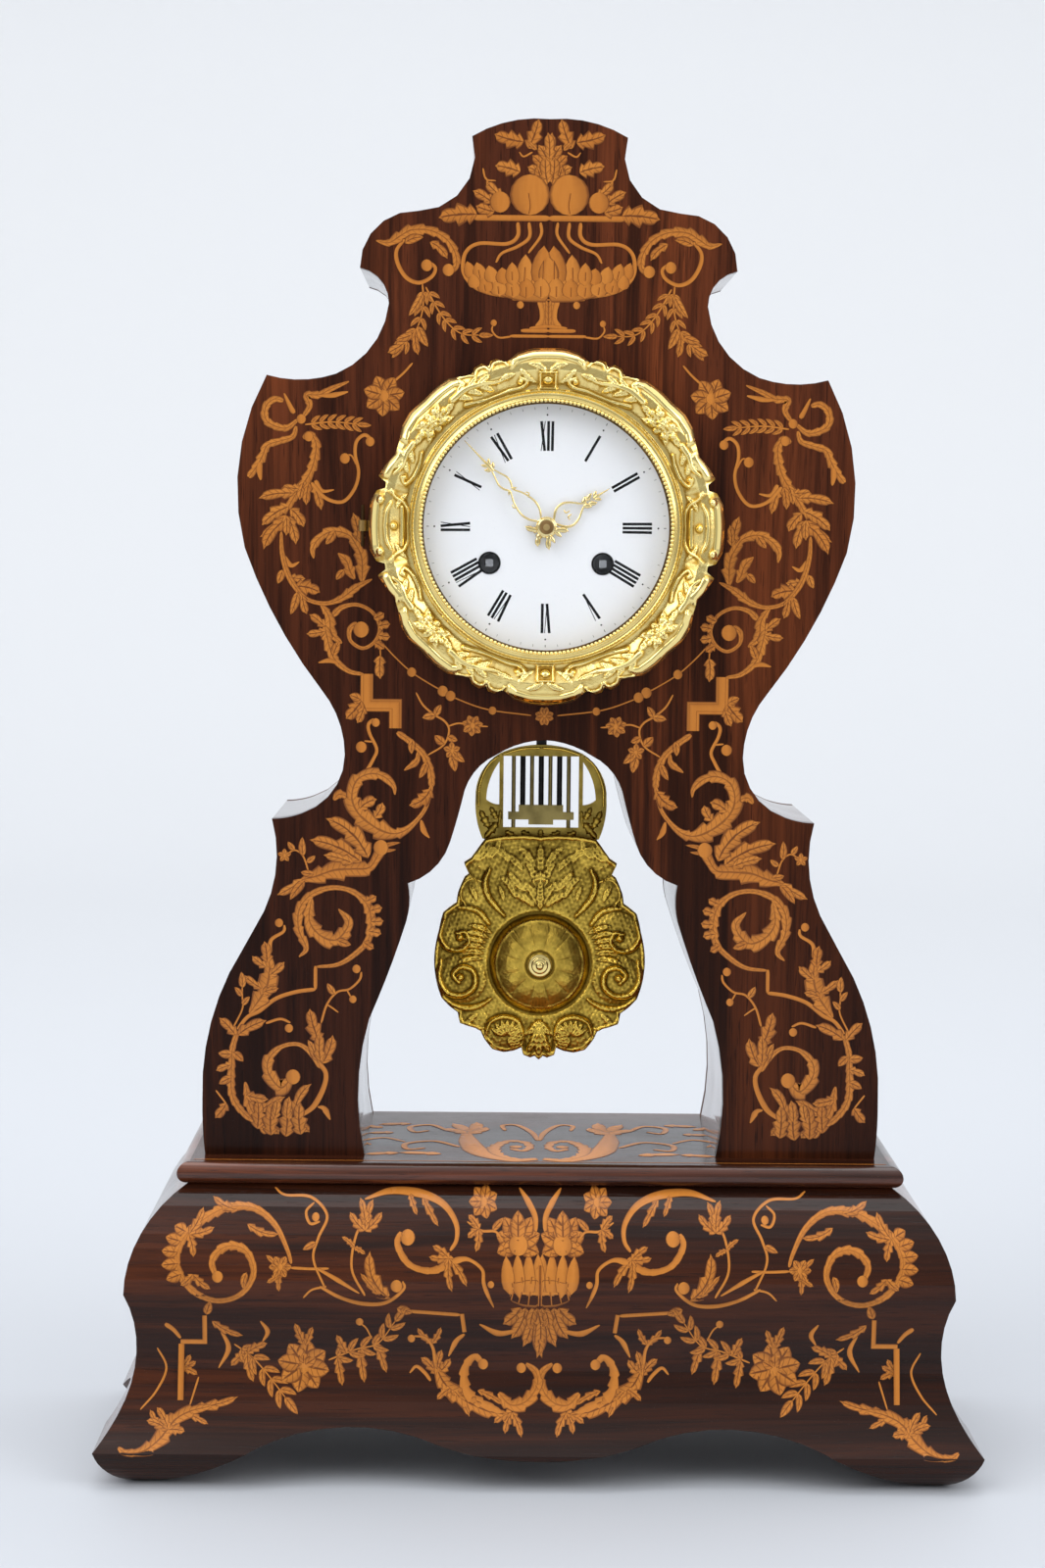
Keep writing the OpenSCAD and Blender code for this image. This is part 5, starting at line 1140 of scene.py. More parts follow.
def bezel_relief(sizes):
    """Heights of a quarter of the bezel, from 12 o'clock round to 9; the other quarters mirror it."""
    quarter = sizes.steps_round // 4
    angle = np.linspace(0, 90, quarter + 1)
    edge = np.interp(angle, *zip(*BEZEL_EDGE))
    part = np.linspace(0, 1, sizes.steps_across)[:, None]
    r = BEZEL_INNER + part * (edge - BEZEL_INNER)
    turn = np.radians(angle)
    ground = np.interp(r, *zip(*BEZEL_GROUND))
    relief = Relief(r * np.sin(turn), r * np.cos(turn), ground)

    def at(*pairs):
        return [polar(radius, degrees) for radius, degrees in pairs]

    # Scroll that runs along the dial, with foliage growing from the cluster on the diagonal
    relief.ridge(at((66.4, 34), (64.6, 29), (63.9, 23), (64.2, 16), (64.4, 10.5), (66.6, 8.2), (68.6, 10.4)),
                 (2.6, 2.2, 1.8, 2.0, 2.2, 2.0, 1.6), 2.2)
    relief.ball(*polar(67.0, 10.8), 1.3, 2.8)
    relief.ridge(at((66, 60), (64.6, 64), (64.8, 70), (67.4, 73.6), (69.6, 71.6)),
                 (1.8, 2.0, 2.0, 1.8, 1.4), 2.1)
    relief.ball(*polar(68.4, 71.2), 1.2, 2.6)
    relief.ridge(at((71.5, 37), (72.4, 31), (71.0, 25), (69.4, 20), (69.6, 16)), (3.6, 3.0, 2.6, 2.0, 1.0),
                 2.2, 0.2)
    for degrees, outer, inner in ((33.5, 76.4, 67.4), (29.0, 75.4, 66.8), (24.6, 74.0, 66.2)):
        relief.leaf(polar(72.0, degrees + 2), polar(outer, degrees - 3.0), 3.4, 2.1, 0.06, 3)
        relief.leaf(polar(71.0, degrees + 2), polar(inner, degrees - 2.6), 3.4, 2.0, -0.06, 3)
    relief.leaf(polar(70, 18), polar(70.8, 12.4), 3.0, 1.8, 0.0, 3)
    relief.ridge(at((71.5, 59), (72.0, 63), (71.2, 67.5), (73.6, 71)), (3.6, 3.0, 2.4, 1.2), 2.1, 0.2)
    for degrees, outer, inner in ((61.6, 74.4, 67.2), (66.0, 74.0, 67.6)):
        relief.leaf(polar(71.6, degrees - 1), polar(outer, degrees + 3.0), 3.2, 2.0, -0.06, 3)
        relief.leaf(polar(71.0, degrees - 1), polar(inner, degrees + 3.2), 3.2, 1.9, 0.06, 3)
    for radius, degrees, width in ((75.0, 48, 4.6), (74.6, 42.4, 4.4), (74.6, 53.6, 4.4), (70.4, 37.4, 4.6),
                                   (70.4, 58.6, 4.6), (65.6, 41.2, 4.4), (65.6, 54.8, 4.4), (64.8, 48, 4.2)):
        relief.leaf(polar(69.8, 48), polar(radius, degrees), width, 2.4, 0.04, 3)
    for radius, degrees, size in ((73.2, 45.0, 1.8), (73.2, 51.0, 1.8), (67.0, 44.4, 1.6), (67.0, 51.6, 1.6),
                                  (70.2, 42.2, 1.7), (70.2, 53.8, 1.7)):
        relief.ball(*polar(radius, degrees), size, 3.1)
    relief.flower(*polar(70.2, 48), 3.1, 3.5, 6)
    # Jewel in a square frame at 12 and 6, with a palmette beside it
    for start, stop in (((63.0, 3.1), (70.2, 2.9)), ((70.2, -3.0), (70.2, 3.0)), ((63.2, -3.4), (63.2, 3.4))):
        relief.ridge(at(start, stop), (1.0, 1.0), 2.2)
    relief.ball(0, 66.6, 2.3, 2.6, 0.84)
    relief.leaf(polar(70.8, 1.0), polar(74.4, 6.4), 3.0, 1.7, 0.1, 3)
    relief.leaf(polar(66, 5.0), polar(72.4, 9.6), 2.8, 1.8, -0.1, 3)
    # Cartouche at 9 and 3: upright plates between two curls
    relief.ridge(at((66.6, 82.6), (66.0, 86), (65.8, 90)), (1.8, 2.2, 2.4), 1.4)
    relief.ridge(at((71.6, 81.6), (73.2, 85), (73.6, 90)), (1.6, 2.0, 2.2), 1.6)
    relief.ridge(at((63.4, 90), (63.6, 84.4), (65.8, 80.8), (69.6, 79.4), (72.6, 77.4)),
                 (1.2, 1.4, 1.6, 1.8, 1.2), 2.4)
    relief.ball(*polar(77.0, 81.2), 2.0, 3.2)
    relief.ball(*polar(69.6, 90), 1.7, 3.0)
    relief.leaf(polar(65.4, 77.6), polar(69.0, 83.4), 2.8, 2.2, 0.1, 3)
    relief.rise *= sizes.relief
    # Polished rim where the edge runs smooth, and the curls that break it
    inset = edge - r
    rim = np.clip(1 - ((inset - 2.2) / 2.6) ** 2, 0, 1) ** 0.8
    polish = 0 * r
    for start, stop in ((-9, 13.6), (30.6, 60.2), (62.4, 73.8), (79.2, 99)):
        here = np.clip((angle - start) / 1.4, 0, 1) * np.clip((stop - angle) / 1.4, 0, 1)
        relief.lift(1.5 * rim * here)
        polish = np.maximum(polish, here * np.clip((4.6 - inset) / 0.8, 0, 1))
    relief.ridge(at((75.4, 14.2), (78.0, 15.4), (78.2, 18.6), (76, 20.0)), (1.4, 2.0, 2.0, 1.4), 1.5)
    relief.ridge(at((75.8, 21), (78.2, 21.8), (78.2, 24.6), (76, 26.0)), (1.4, 2.0, 2.0, 1.4), 1.5)
    relief.ridge(at((76.4, 26.8), (77.4, 28.2), (79.0, 30.8)), (1.2, 1.8, 2.4), 1.4)
    # Smooth cavetto next to the sight ring
    polish = np.maximum(polish, 0.3 * np.clip((64.2 - r) / 0.8, 0, 1))
    return r, turn, relief, polish


def bezel_shell(sizes):
    """Points, faces and cavity of the whole bezel; its back is flat on the flange."""
    r, turn, relief, polish = bezel_relief(sizes)
    quarter = sizes.steps_round // 4
    column = np.arange(sizes.steps_round)
    fold = np.abs((column + quarter) % (2 * quarter) - quarter)
    height = relief.heights(sizes.matting / MM * (1 - polish), 7)[:, fold]
    cavity = np.stack([relief.cavity(10), polish, 0 * polish], 2)[:, fold]
    radius = r[:, fold]
    around = 2 * np.pi * column / sizes.steps_round
    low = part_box("bezel_casting")[1].y / MM
    height = np.vstack([0 * height[:1], height, 0 * height[:1]])
    radius = np.vstack([radius[:1], radius, radius[-1:]])
    cavity = np.concatenate([cavity[:1], cavity, cavity[-1:]])
    y = np.minimum(low, FLANGE_Y - height)
    y[0] = y[-1] = low
    y = np.maximum(y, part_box("bezel_casting")[0].y / MM)
    rows = np.stack([radius * np.sin(around), y, DIAL_Z + radius * np.cos(around)], 2)
    points, faces = wrap(rows)
    return points, faces, cavity.reshape(-1, 3)


BEAD_SIDES, BEAD_RINGS = 14, 9


def bead_ring(count, radius, bead_r, y):
    """Geometry Nodes: a circle of beads round the dial, realized into one mesh."""
    tree = bpy.data.node_groups.new("Bead ring", "GeometryNodeTree")
    face = tree.interface
    face.new_socket("Geometry", in_out="INPUT", socket_type="NodeSocketGeometry")
    for label, kind in (("Beads", "NodeSocketInt"), ("Circle radius", "NodeSocketFloat"),
                        ("Bead radius", "NodeSocketFloat"), ("Look", "NodeSocketMaterial")):
        face.new_socket(label, in_out="INPUT", socket_type=kind)
    face.new_socket("Geometry", in_out="OUTPUT", socket_type="NodeSocketGeometry")
    nodes, links = tree.nodes, tree.links
    entry, leave = nodes.new("NodeGroupInput"), nodes.new("NodeGroupOutput")
    circle = nodes.new("GeometryNodeMeshCircle")
    ball = nodes.new("GeometryNodeMeshUVSphere")
    ball.inputs["Segments"].default_value, ball.inputs["Rings"].default_value = BEAD_SIDES, BEAD_RINGS
    spread = nodes.new("GeometryNodeInstanceOnPoints")
    lay = nodes.new("GeometryNodeTransform")
    real = nodes.new("GeometryNodeRealizeInstances")
    smooth = nodes.new("GeometryNodeSetShadeSmooth")
    paint_it = nodes.new("GeometryNodeSetMaterial")
    lay.inputs["Rotation"].default_value = (math.radians(90), 0, 0)
    lay.inputs["Translation"].default_value = (0, y * MM, DIAL_Z * MM)
    for a, b in (
        (entry.outputs["Beads"], circle.inputs["Vertices"]),
        (entry.outputs["Circle radius"], circle.inputs["Radius"]),
        (entry.outputs["Bead radius"], ball.inputs["Radius"]),
        (circle.outputs[0], spread.inputs["Points"]),
        (ball.outputs["Mesh"], spread.inputs["Instance"]),
        (spread.outputs[0], lay.inputs[0]),
        (lay.outputs[0], real.inputs[0]),
        (real.outputs[0], smooth.inputs[0]),
        (smooth.outputs[0], paint_it.inputs[0]),
        (entry.outputs["Look"], paint_it.inputs["Material"]),
        (paint_it.outputs[0], leave.inputs[0]),
    ):
        links.new(a, b)
    return tree, {"Beads": count, "Circle radius": radius * MM, "Bead radius": bead_r * MM}


def from_nodes(name, tree, values, look):
    """The plain mesh that a Geometry Nodes tree makes from an empty object, which is then deleted."""
    holder = bpy.data.objects.new(name + "_holder", bpy.data.meshes.new(name + "_holder"))
    bpy.context.collection.objects.link(holder)
    nodes = holder.modifiers.new("Beads", "NODES")
    nodes.node_group = tree
    for item in tree.interface.items_tree:
        if item.item_type == "SOCKET" and item.in_out == "INPUT" and item.name in values:
            nodes[item.identifier] = values[item.name]
        if item.item_type == "SOCKET" and item.name == "Look":
            nodes[item.identifier] = look
    depsgraph = bpy.context.evaluated_depsgraph_get()
    mesh = bpy.data.meshes.new_from_object(holder.evaluated_get(depsgraph))
    bpy.data.objects.remove(holder)
    made = bpy.data.objects.new(name, mesh)
    bpy.context.collection.objects.link(made)
    return made


# Dial


NUMERALS = {12: "XII", 1: "I", 2: "II", 3: "III", 4: "IIII", 5: "V", 6: "VI", 7: "VII", 8: "VIII", 9: "IX",
            10: "X", 11: "XI"}
STROKES = {  # width of the letter, then its strokes: side and height of both ends, and whether it is thick
    "I": (1.95, [(0, 0, 0, 1, 1)]),
    "V": (3.1, [(-0.85, 1, 0.3, 0, 1), (1.3, 1, 0.3, 0, 0)]),
    "X": (3.1, [(-0.75, 1, 0.75, 0, 1), (1.0, 1, -1.0, 0, 0)]),
}


PRINT_LIFT, PRINT_DEEP = 0.035, 0.2


def printed(boxes, name, look):
    """Thin closed slips on the dial, each from the corners of its outline."""
    points, faces = [], []
    for corners in boxes:
        n, start = len(corners), len(points)
        for y in (DIAL_Y - PRINT_LIFT, DIAL_Y + PRINT_DEEP):
            points += [(x, y, DIAL_Z + z) for x, z in corners]
        area = sum(a[0] * b[1] - a[1] * b[0] for a, b in zip(corners, corners[1:] + corners[:1]))
        front = list(range(start, start + n))
        ring = [[front[(k + 1) % n], front[k], front[k] + n, front[(k + 1) % n] + n] for k in range(n)]
        all_faces = [front, [k + n for k in front[::-1]]] + ring
        faces += all_faces if area > 0 else [f[::-1] for f in all_faces]
    return piece(name, points, faces, look, "case", False)


def stroke(a, b, width):
    way = np.array(b, float) - np.array(a, float)
    way /= np.linalg.norm(way)
    side = np.array([-way[1], way[0]]) * width / 2
    return [tuple(np.array(p) + s) for p, s in ((a, side), (b, side), (b, -side), (a, -side))]


MINUTE_FOOT, MINUTE_HEAD = 53.9, 55.0
FIVE_MINUTES, ONE_MINUTE = 0.3, 0.16  # widths of the strokes
HOUR_DOT_R = 0.42
NARROWING = 0.06  # share by which a numeral narrows towards its foot


def dial_figures(sizes):
    """Radial hour numerals with their feet to the centre, minute strokes and hour dots."""
    inner, outer = sizes.inner / MM, sizes.outer / MM
    boxes = []
    for hour, word in NUMERALS.items():
        width = sum(STROKES[c][0] for c in word)
        start = -width / 2
        for letter in word:
            wide, strokes = STROKES[letter]
            centre = start + wide / 2
            start += wide
            for s0, h0, s1, h1, thick in strokes:
                ends = []
                for s, h in ((s0, h0), (s1, h1)):
                    r = inner + h * (outer - inner)
                    side = (centre + s) * (1 - NARROWING + NARROWING * h)
                    ends.append(polar(r, hour * 30 + math.degrees(side / r)))
                boxes.append(stroke(*ends, (sizes.stroke if thick else sizes.hair) / MM))
    for minute in range(60):
        ends = polar(MINUTE_FOOT, minute * 6), polar(MINUTE_HEAD, minute * 6)
        boxes.append(stroke(*ends, ONE_MINUTE if minute % 5 else FIVE_MINUTES))
    for hour in range(12):
        x, z = polar(sizes.dot_r / MM, hour * 30)
        around = np.linspace(0, 6.283, 13)[:-1]
        boxes.append([(x + HOUR_DOT_R * math.cos(a), z + HOUR_DOT_R * math.sin(a)) for a in around])
    return boxes


def on_hand(degrees, y):
    """Points of a hand drawn upright, turned about the dial's centre."""
    c, s = math.cos(math.radians(degrees)), math.sin(math.radians(degrees))

    def place(flat, height):
        x = flat[:, 0] * c + flat[:, 1] * s
        z = -flat[:, 0] * s + flat[:, 1] * c
        return np.stack([x, y - height, z + DIAL_Z], 1)

    return place


def long_hand(m):
    """Pierced minute hand, as its right half."""
    m.stem([(0.8, 4.4), (3.4, 8.2), (4.3, 12.6), (3.2, 18.2), (1.0, 22.6), (0.5, 24)], 0.9, 1.0, 0.9, 0.8,
           0.7)
    m.stem([(0.6, 23.4), (2.2, 26.2), (2.6, 29.2), (1.3, 33.2), (0.5, 36)], 0.8, 0.9, 0.8, 0.7, 0.7)
    m.stem([(3.4, 15.4), (4.8, 17.0), (4.0, 18.4)], 0.7, 0.7, 0.5)
    m.leaf(0.5, 36.0, 2.8, 38.6, 1.5, 0, 1)
    m.leaf(0.5, 38.4, 2.3, 41.2, 1.4, 0, 1)
    m.leaf(0.5, 24.0, 2.6, 22.4, 1.1, 0, 1)
    m.leaf(1.0, -3.6, 6.2, -8.4, 3.2, 0.1, 2)
    m.leaf(1.6, -3.6, 2.0, -8.0, 1.8, 0, 1)


def short_hand(m):
    """Pierced hour hand, as its right half."""
    m.stem([(0.8, 4.4), (4.5, 7.8), (5.5, 11.4), (4.2, 15.0), (1.4, 18.6), (0.5, 20.6)], 1.1, 1.2, 1.1, 0.9,
           0.9)
    m.stem([(2.7, 11.0), (1.1, 11.0), (0.8, 13.0)], 0.6, 0.8, 0.6)
    m.leaf(0.5, 19.4, 3.0, 22.6, 2.2, 0.1, 1)
    m.leaf(0.5, 22.4, 2.4, 25.8, 2.0, -0.1, 1)
    m.leaf(0.6, 25.6, 2.4, 28.2, 1.4, 0, 1)
    m.leaf(1.0, -3.6, 5.6, -8.0, 3.2, -0.1, 2)


HANDS = (  # name, pattern, start and end of the point, radius of the hub, angle from 12 o'clock
    ("hour_hand", short_hand, 25.2, 34.0, 4.9, 58.0),
    ("minute_hand", long_hand, 35.2, 54.5, 4.2, -44.0),
)
POINT_SHAPE = ((0, 0.12, 0.2, 0.3, 1), (0.7, 0.75, 1.3, 0.6, 0.12))  # half width along the point


# Pendulum


BOB_EDGE = [  # side and height from the boss
    (0, 62), (14, 62.5), (27, 60.5), (31, 55), (33.6, 51.4), (37.2, 49), (34.6, 43.6), (36.6, 42.2), (40, 34),
    (40.6, 29.5), (47, 24.5), (49, 16), (50.2, 11), (51.2, 1), (50.4, -7), (47.5, -17), (43.2, -21.4),
    (39.6, -24), (38.4, -29.2), (31, -31.6), (28.4, -33), (26.5, -37), (22.5, -42), (17, -43.4), (12, -42.6),
    (8.4, -41), (7.6, -44.6), (4, -46), (2, -45), (0, -47),
]
BOB_GROUND = [  # distance from the boss, and height
    (0, 8.0), (5.8, 8.0), (6.2, 7.2), (6.9, 7.2), (7.6, 7.9), (12, 7.3), (16, 6.2), (20, 4.5), (22.6, 2.8),
    (23.7, 1.2), (24.2, 0.2), (25.0, 0.15), (26.2, 0.9), (45, 0.8), (62, 0.4),
]
CUSHIONS = [  # centre, half width and half height of the swelling shapes round the boss, and their rise
    (37.5, 15.5, 12.0, 10.5, 2.2), (38.0, -7.5, 12.5, 12.0, 2.4), (15.5, -33.5, 10.5, 9.0, 2.3),
    (0, -37.0, 7.0, 10.0, 2.1), (32.6, 34.5, 6.8, 7.0, 0.8), (32.4, -27.5, 7.6, 6.5, 1.0),
    (0, 42.0, 17.0, 15.0, 1.5), (27.0, 52.0, 8.6, 6.5, 1.2),
]


HALF_STEPS = 360  # steps round half of the bob
BOB_MATTING = 0.16
BACK_SHADE = 0.7
FRAME_FRONT = BOB_BOX[0].y / MM + 3.9  # plane from which the bob's relief is measured


def bob_relief():
    """Heights of the right half of the cast bob over its back plane."""
    edge = np.array(BOB_EDGE)
    angle = np.linspace(0, 180, HALF_STEPS + 1)
    at_edge = np.degrees(np.arctan2(edge[:, 0], edge[:, 1]))
    reach = np.interp(angle, at_edge, np.hypot(*edge.T))
    part = np.linspace(0, 1, 112)[:, None] ** 0.9
    turn = np.radians(angle)
    r = part * reach
    b = Relief(r * np.sin(turn), r * np.cos(turn), np.interp(r, *zip(*BOB_GROUND)))
    outside = np.clip((r - 25.5) / 1.5, 0, 1)
    for x, z, wide, high, rise in CUSHIONS:
        swell = np.clip(1 - ((b.x - x) / wide) ** 2 - ((b.z - z) / high) ** 2, 0, 1)
        b.ground = np.maximum(b.ground, outside * (0.8 + rise * swell**0.6))
    # Rolled edge all round
    b.lift(0.9 * np.clip(1 - ((reach - r - 1.0) / 1.1) ** 2, 0, 1) ** 0.5)
    # Ribs of the large C-scrolls over the boss and round the side panels
    b.ridge([(24.6, 46), (26.8, 40.5), (25.4, 33), (20.6, 26.8), (17.4, 23.6)], (2.0, 3.2, 3.4, 2.8, 1.8),
            1.7)
    b.ridge([(39.6, 27.4), (34.8, 27.0), (29.4, 25.0), (24.8, 19.4)], (2.0, 3.0, 3.0, 2.0), 1.6)
    b.ridge([(28.6, 40), (33.2, 41.4), (37.4, 38.6), (38.6, 32.6), (36.4, 28.8)], (1.0, 1.2, 1.4, 1.4, 1.0),
            1.1)
    b.ridge([(46.8, -16.6), (41.4, -20.6), (34.6, -21.8), (28.4, -20.4), (23.8, -17.4)],
            (1.6, 2.6, 3.0, 2.8, 1.8), 1.6)
    b.ridge([(38.4, -24.6), (38.4, -29.4), (33.0, -33.4), (27.0, -31.6)], (1.0, 1.4, 1.4, 1.0), 1.1)
    b.ridge([(26.4, -36), (24.0, -28.6), (17.0, -25.8), (10.0, -28.4), (7.6, -35)],
            (1.8, 2.6, 2.6, 2.2, 1.4), 1.5)
    # Volutes and shell ribs on the side cushions
    b.ridge([(46.6, 21), (48.6, 13.4), (45.2, 7.4), (38.8, 6.4), (34.4, 10.4), (36.0, 15.4), (40.4, 15.0)],
            (1.6, 2.8, 2.8, 2.6, 2.6, 2.2, 1.6), 1.8)
    b.ball(38.8, 12.8, 1.9, 2.3)
    b.ridge([(47.8, 1.6), (49.0, -7.0), (44.6, -14.4), (36.6, -15.4), (31.2, -10.4), (32.4, -3.4),
            (38.4, -1.6), (42.0, -5.6), (39.0, -9.2)], (1.8, 3.2, 3.2, 3.2, 3.0, 2.8, 2.8, 2.4, 1.8), 2.0)
    b.ball(38.6, -6.6, 2.0, 2.6)
    for k in range(6):
        t = 58 + 5.5 * k
        b.leaf(polar(28.0, t), polar(39.5, t + math.degrees(0.06)), 3.4, 1.5, 0.08, 2)
    # Two shells on the lower cushion: count, first angle and step, height, radii, leaf
    for count, first, step, z, inner, wide, high, leaf in (
        (5, 208, 26, -35.0, 1.6, 8.6, 8.0, (3.6, 1.3, 0.03, 2)),
        (7, -64, 21, -35.6, 1.5, 8.8, 8.4, (3.2, 1.5, 0, 1)),
    ):
        for k in range(count):
            s, c = polar(1, first + step * k)
            b.leaf((15.5 + inner * s, z + inner * c), (15.5 + wide * s, z + high * c), *leaf)
    # Foliage over the boss, between the arms of the lyre
    b.leaf((0, 27), (0, 41), 5.6, 1.7, 0, 4)
    b.flower(0, 42.5, 3.4, 1.5, 6)
    for x0, z0, x1, z1, w, bend in ((1.5, 29, 8.6, 40, 5.0, 0.12), (3, 28, 14.6, 34, 4.8, 0.12),
                                    (2, 38, 7.4, 50, 5.0, 0.1), (6, 36, 15.6, 45.6, 5.0, -0.1),
                                    (13, 34, 19.4, 42.4, 4.6, 0.1), (9, 46, 18.6, 53.4, 4.8, 0.1),
                                    (3, 48, 11, 57, 4.6, 0.08), (0, 45, 0, 58, 5.4, 0.0),
                                    (16, 50, 22.6, 57, 4.2, 0.1), (20, 60, 25.6, 51.6, 5.0, -0.1),
                                    (24, 59, 31.6, 50.0, 4.8, -0.08), (27, 58, 36.4, 49.4, 4.4, -0.05),
                                    (18, 31, 20.6, 38, 3.0, 0.1), (31, 31, 34.6, 37.4, 3.6, 0.1),
                                    (30, -25, 35.4, -30.4, 3.6, 0.1)):
        b.leaf((x0, z0), (x1, z1), w, 1.0, bend, 3)
    b.leaf((0, -28), (0, -46), 5.6, 1.8, 0, 3)
    b.leaf((0.8, -29), (6.4, -43.6), 4.6, 1.6, -0.1, 3)
    b.leaf((1.0, -28), (6.6, -34.4), 3.8, 1.5, -0.1, 2)
    # Boss: twelve faint petals in a ring, then the washer
    petals = np.abs(np.cos(np.arctan2(b.x, b.z) * 6)) ** 0.7
    b.ground = b.ground + 0.75 * petals * np.clip(1 - ((r - 14.6) / 6.6) ** 2, 0, 1)
    b.ground = b.ground + 0.5 * np.clip(1 - ((r - 21.6) / 1.2) ** 2, 0, 1)
    # Chased grain of the casting
    grain = sum(np.sin(b.x * sx + b.z * sz + ph) for sx, sz, ph in
                ((1.9, 1.1, 0.3), (-1.3, 2.3, 1.1), (2.9, -1.7, 2.0), (0.7, 3.1, 4.2), (-3.3, -0.9, 5.0)))
    b.ground = b.ground + 0.05 * grain * np.clip((r - 24) / 3, 0.3, 1)
    return b


def bob_shell():
    b = bob_relief()
    size = 2 * HALF_STEPS
    column = np.arange(size)
    fold = np.minimum(column, size - column)
    sign = np.where(column > HALF_STEPS, -1.0, 1.0)
    front, back = FRAME_FRONT, BOB_BOX[1].y / MM
    x, z = b.x[:, fold] * sign, b.z[:, fold]
    height = b.heights(BOB_MATTING, 11)[:, fold]
    height[0] = height[0].mean()
    cavity = b.cavity(8)[:, fold]
    rows = np.stack([x, front - height, BOB_Z + z], 2)
    rim = np.stack([x[-1:], np.full((1, size), back), BOB_Z + z[-1:]], 2)
    core = np.stack([0 * x[-1:], np.full((1, size), back), np.full((1, size), BOB_Z)], 2)
    points, faces = wrap(np.vstack([rows, rim, core]), True)
    shade = np.r_[cavity[0, 0], cavity[1:].ravel(), 0 * cavity[-1] + BACK_SHADE, BACK_SHADE]
    return points, faces, shade


def pendulum_lyre(m):
    """Chased slips on the front of the pendulum's frame, as right halves."""
    m.stem([(20.6, 101.0), (26.2, 95.6), (30.0, 86), (30.4, 76)], 0.8, 1.3, 1.5, 0.9)
    m.stem([(0.2, 104.9), (10, 104.2), (19.2, 101.4)], 1.2, 1.3, 0.9)
    m.leaf(21.4, 70, 24.6, 76.2, 3.8)
    m.leaf(25.4, 66, 29.6, 74.6, 4.6)
    m.leaf(21.0, 68.6, 27.4, 60.4, 4.8)
    m.leaf(19.6, 74.6, 20.4, 66.4, 2.2)
    m.leaf(17.4, 64.2, 10.4, 60.4, 3.6)
    m.leaf(9.6, 64.2, 2.6, 60.6, 3.6)
    m.leaf(18.6, 61, 24.0, 57.6, 3.6)
    m.leaf(0.3, 61.6, 0.3, 65.2, 3.0)


def on_lyre(flat, height):
    return np.stack([flat[:, 0], FRAME_BOX[0].y / MM - height, BOB_Z + flat[:, 1]], 1)


# Stage


CAMERA_AT = (-0.0243, -1.5151, 0.4246)
CAMERA_TURN = (-0.56, -4.14, -0.55)  # yaw, pitch and roll, in degrees


def camera(sizes):
    yaw, pitch, roll = (math.radians(a) for a in CAMERA_TURN)
    turn = Matrix.Rotation(yaw, 3, "Z") @ Matrix.Rotation(pitch, 3, "X") @ Matrix.Rotation(roll, 3, "Y")
    right, ahead, up = (turn.col[k] for k in range(3))
    data = bpy.data.cameras.new("Camera")
    data.lens, data.sensor_width, data.sensor_fit = sizes.lens, 36.0, "AUTO"
    data.dof.use_dof = False
    data.clip_start = 0.05
    made = bpy.data.objects.new("Camera", data)
    pose = Matrix((right, up, -ahead)).transposed().to_4x4()
    pose.translation = CAMERA_AT
    made.matrix_world = pose
    bpy.context.collection.objects.link(made)
    bpy.context.scene.camera = made


def soft_light(name, at, towards, width, height, power):
    data = bpy.data.lights.new(name, "AREA")
    data.shape, data.size, data.size_y, data.energy = "RECTANGLE", width, height, power
    made = bpy.data.objects.new(name, data)
    way = Vector(towards) - Vector(at)
    made.rotation_euler = way.to_track_quat("-Z", "Y").to_euler()
    made.location = at
    bpy.context.collection.objects.link(made)


SWEEP_FRONT, SWEEP_BEND, SWEEP_TOP = -3.0, 2.4, 4.6  # front edge and start of the bend along Y, and height
SWEEP_RADIUS, SWEEP_SIDE = 1.4, 4.0


def sweep(look):
    """Floor that curves up into a backdrop."""
    profile = [(SWEEP_BEND + SWEEP_RADIUS * math.sin(t), SWEEP_RADIUS - SWEEP_RADIUS * math.cos(t))
               for t in np.linspace(0, math.pi / 2, 24)]
    profile = [(SWEEP_FRONT, 0.0), *profile, (SWEEP_BEND + SWEEP_RADIUS, SWEEP_TOP)]
    points = [(side, y, z) for y, z in profile for side in (-SWEEP_SIDE, SWEEP_SIDE)]
    faces = [(k, k + 1, k + 3, k + 2) for k in range(0, len(points) - 2, 2)]
    mesh = bpy.data.meshes.new("Sweep")
    mesh.from_pydata(points, [], faces)
    mesh.polygons.foreach_set("use_smooth", [True] * len(mesh.polygons))
    mesh.materials.append(look)
    made = bpy.data.objects.new("Sweep", mesh)
    bpy.context.collection.objects.link(made)


# Operators


class Build(bpy.types.Operator):
    bl_options = {"REGISTER", "UNDO"}

    def execute(self, context):
        self.build(context.scene.clock)
        return {"FINISHED"}


class CLOCK_OT_timber(Build):
    """Gives the case, the base and the shelf their rosewood, and the unseen parts their softwood"""

    bl_idname = "clock.timber"
    bl_label = "Timber"

    def build(self, clock):
        wood = clock.wood
        # The figure after the grain paints light and shade on copies of one rosewood: darker on the base, the
        # shelf and the side boards, lighter on the moulding
        paint(rosewood("Rosewood upright", wood, "Z", 1.0, 0.04), "case_front_panel")
        paint(rosewood("Rosewood edge", wood, "Y", 1.0, 0.6), "case_left_wall", "case_right_wall",
              "case_crown_wall", "arch_leg_walls", "arch_top_wall")
        paint(rosewood("Rosewood level", wood, "X", 0.42, 0.14), "base_front_board")
        paint(rosewood("Rosewood shelf", wood, "X", 0.6, 0.08), "base_shelf")
        paint(rosewood("Rosewood side", wood, "Y", 0.8, 0.4), "base_left_board", "base_right_board")
        paint(rosewood("Rosewood moulding", wood, "X", 1.7), "shelf_mouldings")
        paint(softwood("Stained softwood", wood.pine), "base_back_board", "glue_blocks")
        paint(softwood("Dark stained softwood", wood.stained), "case_back_panel")


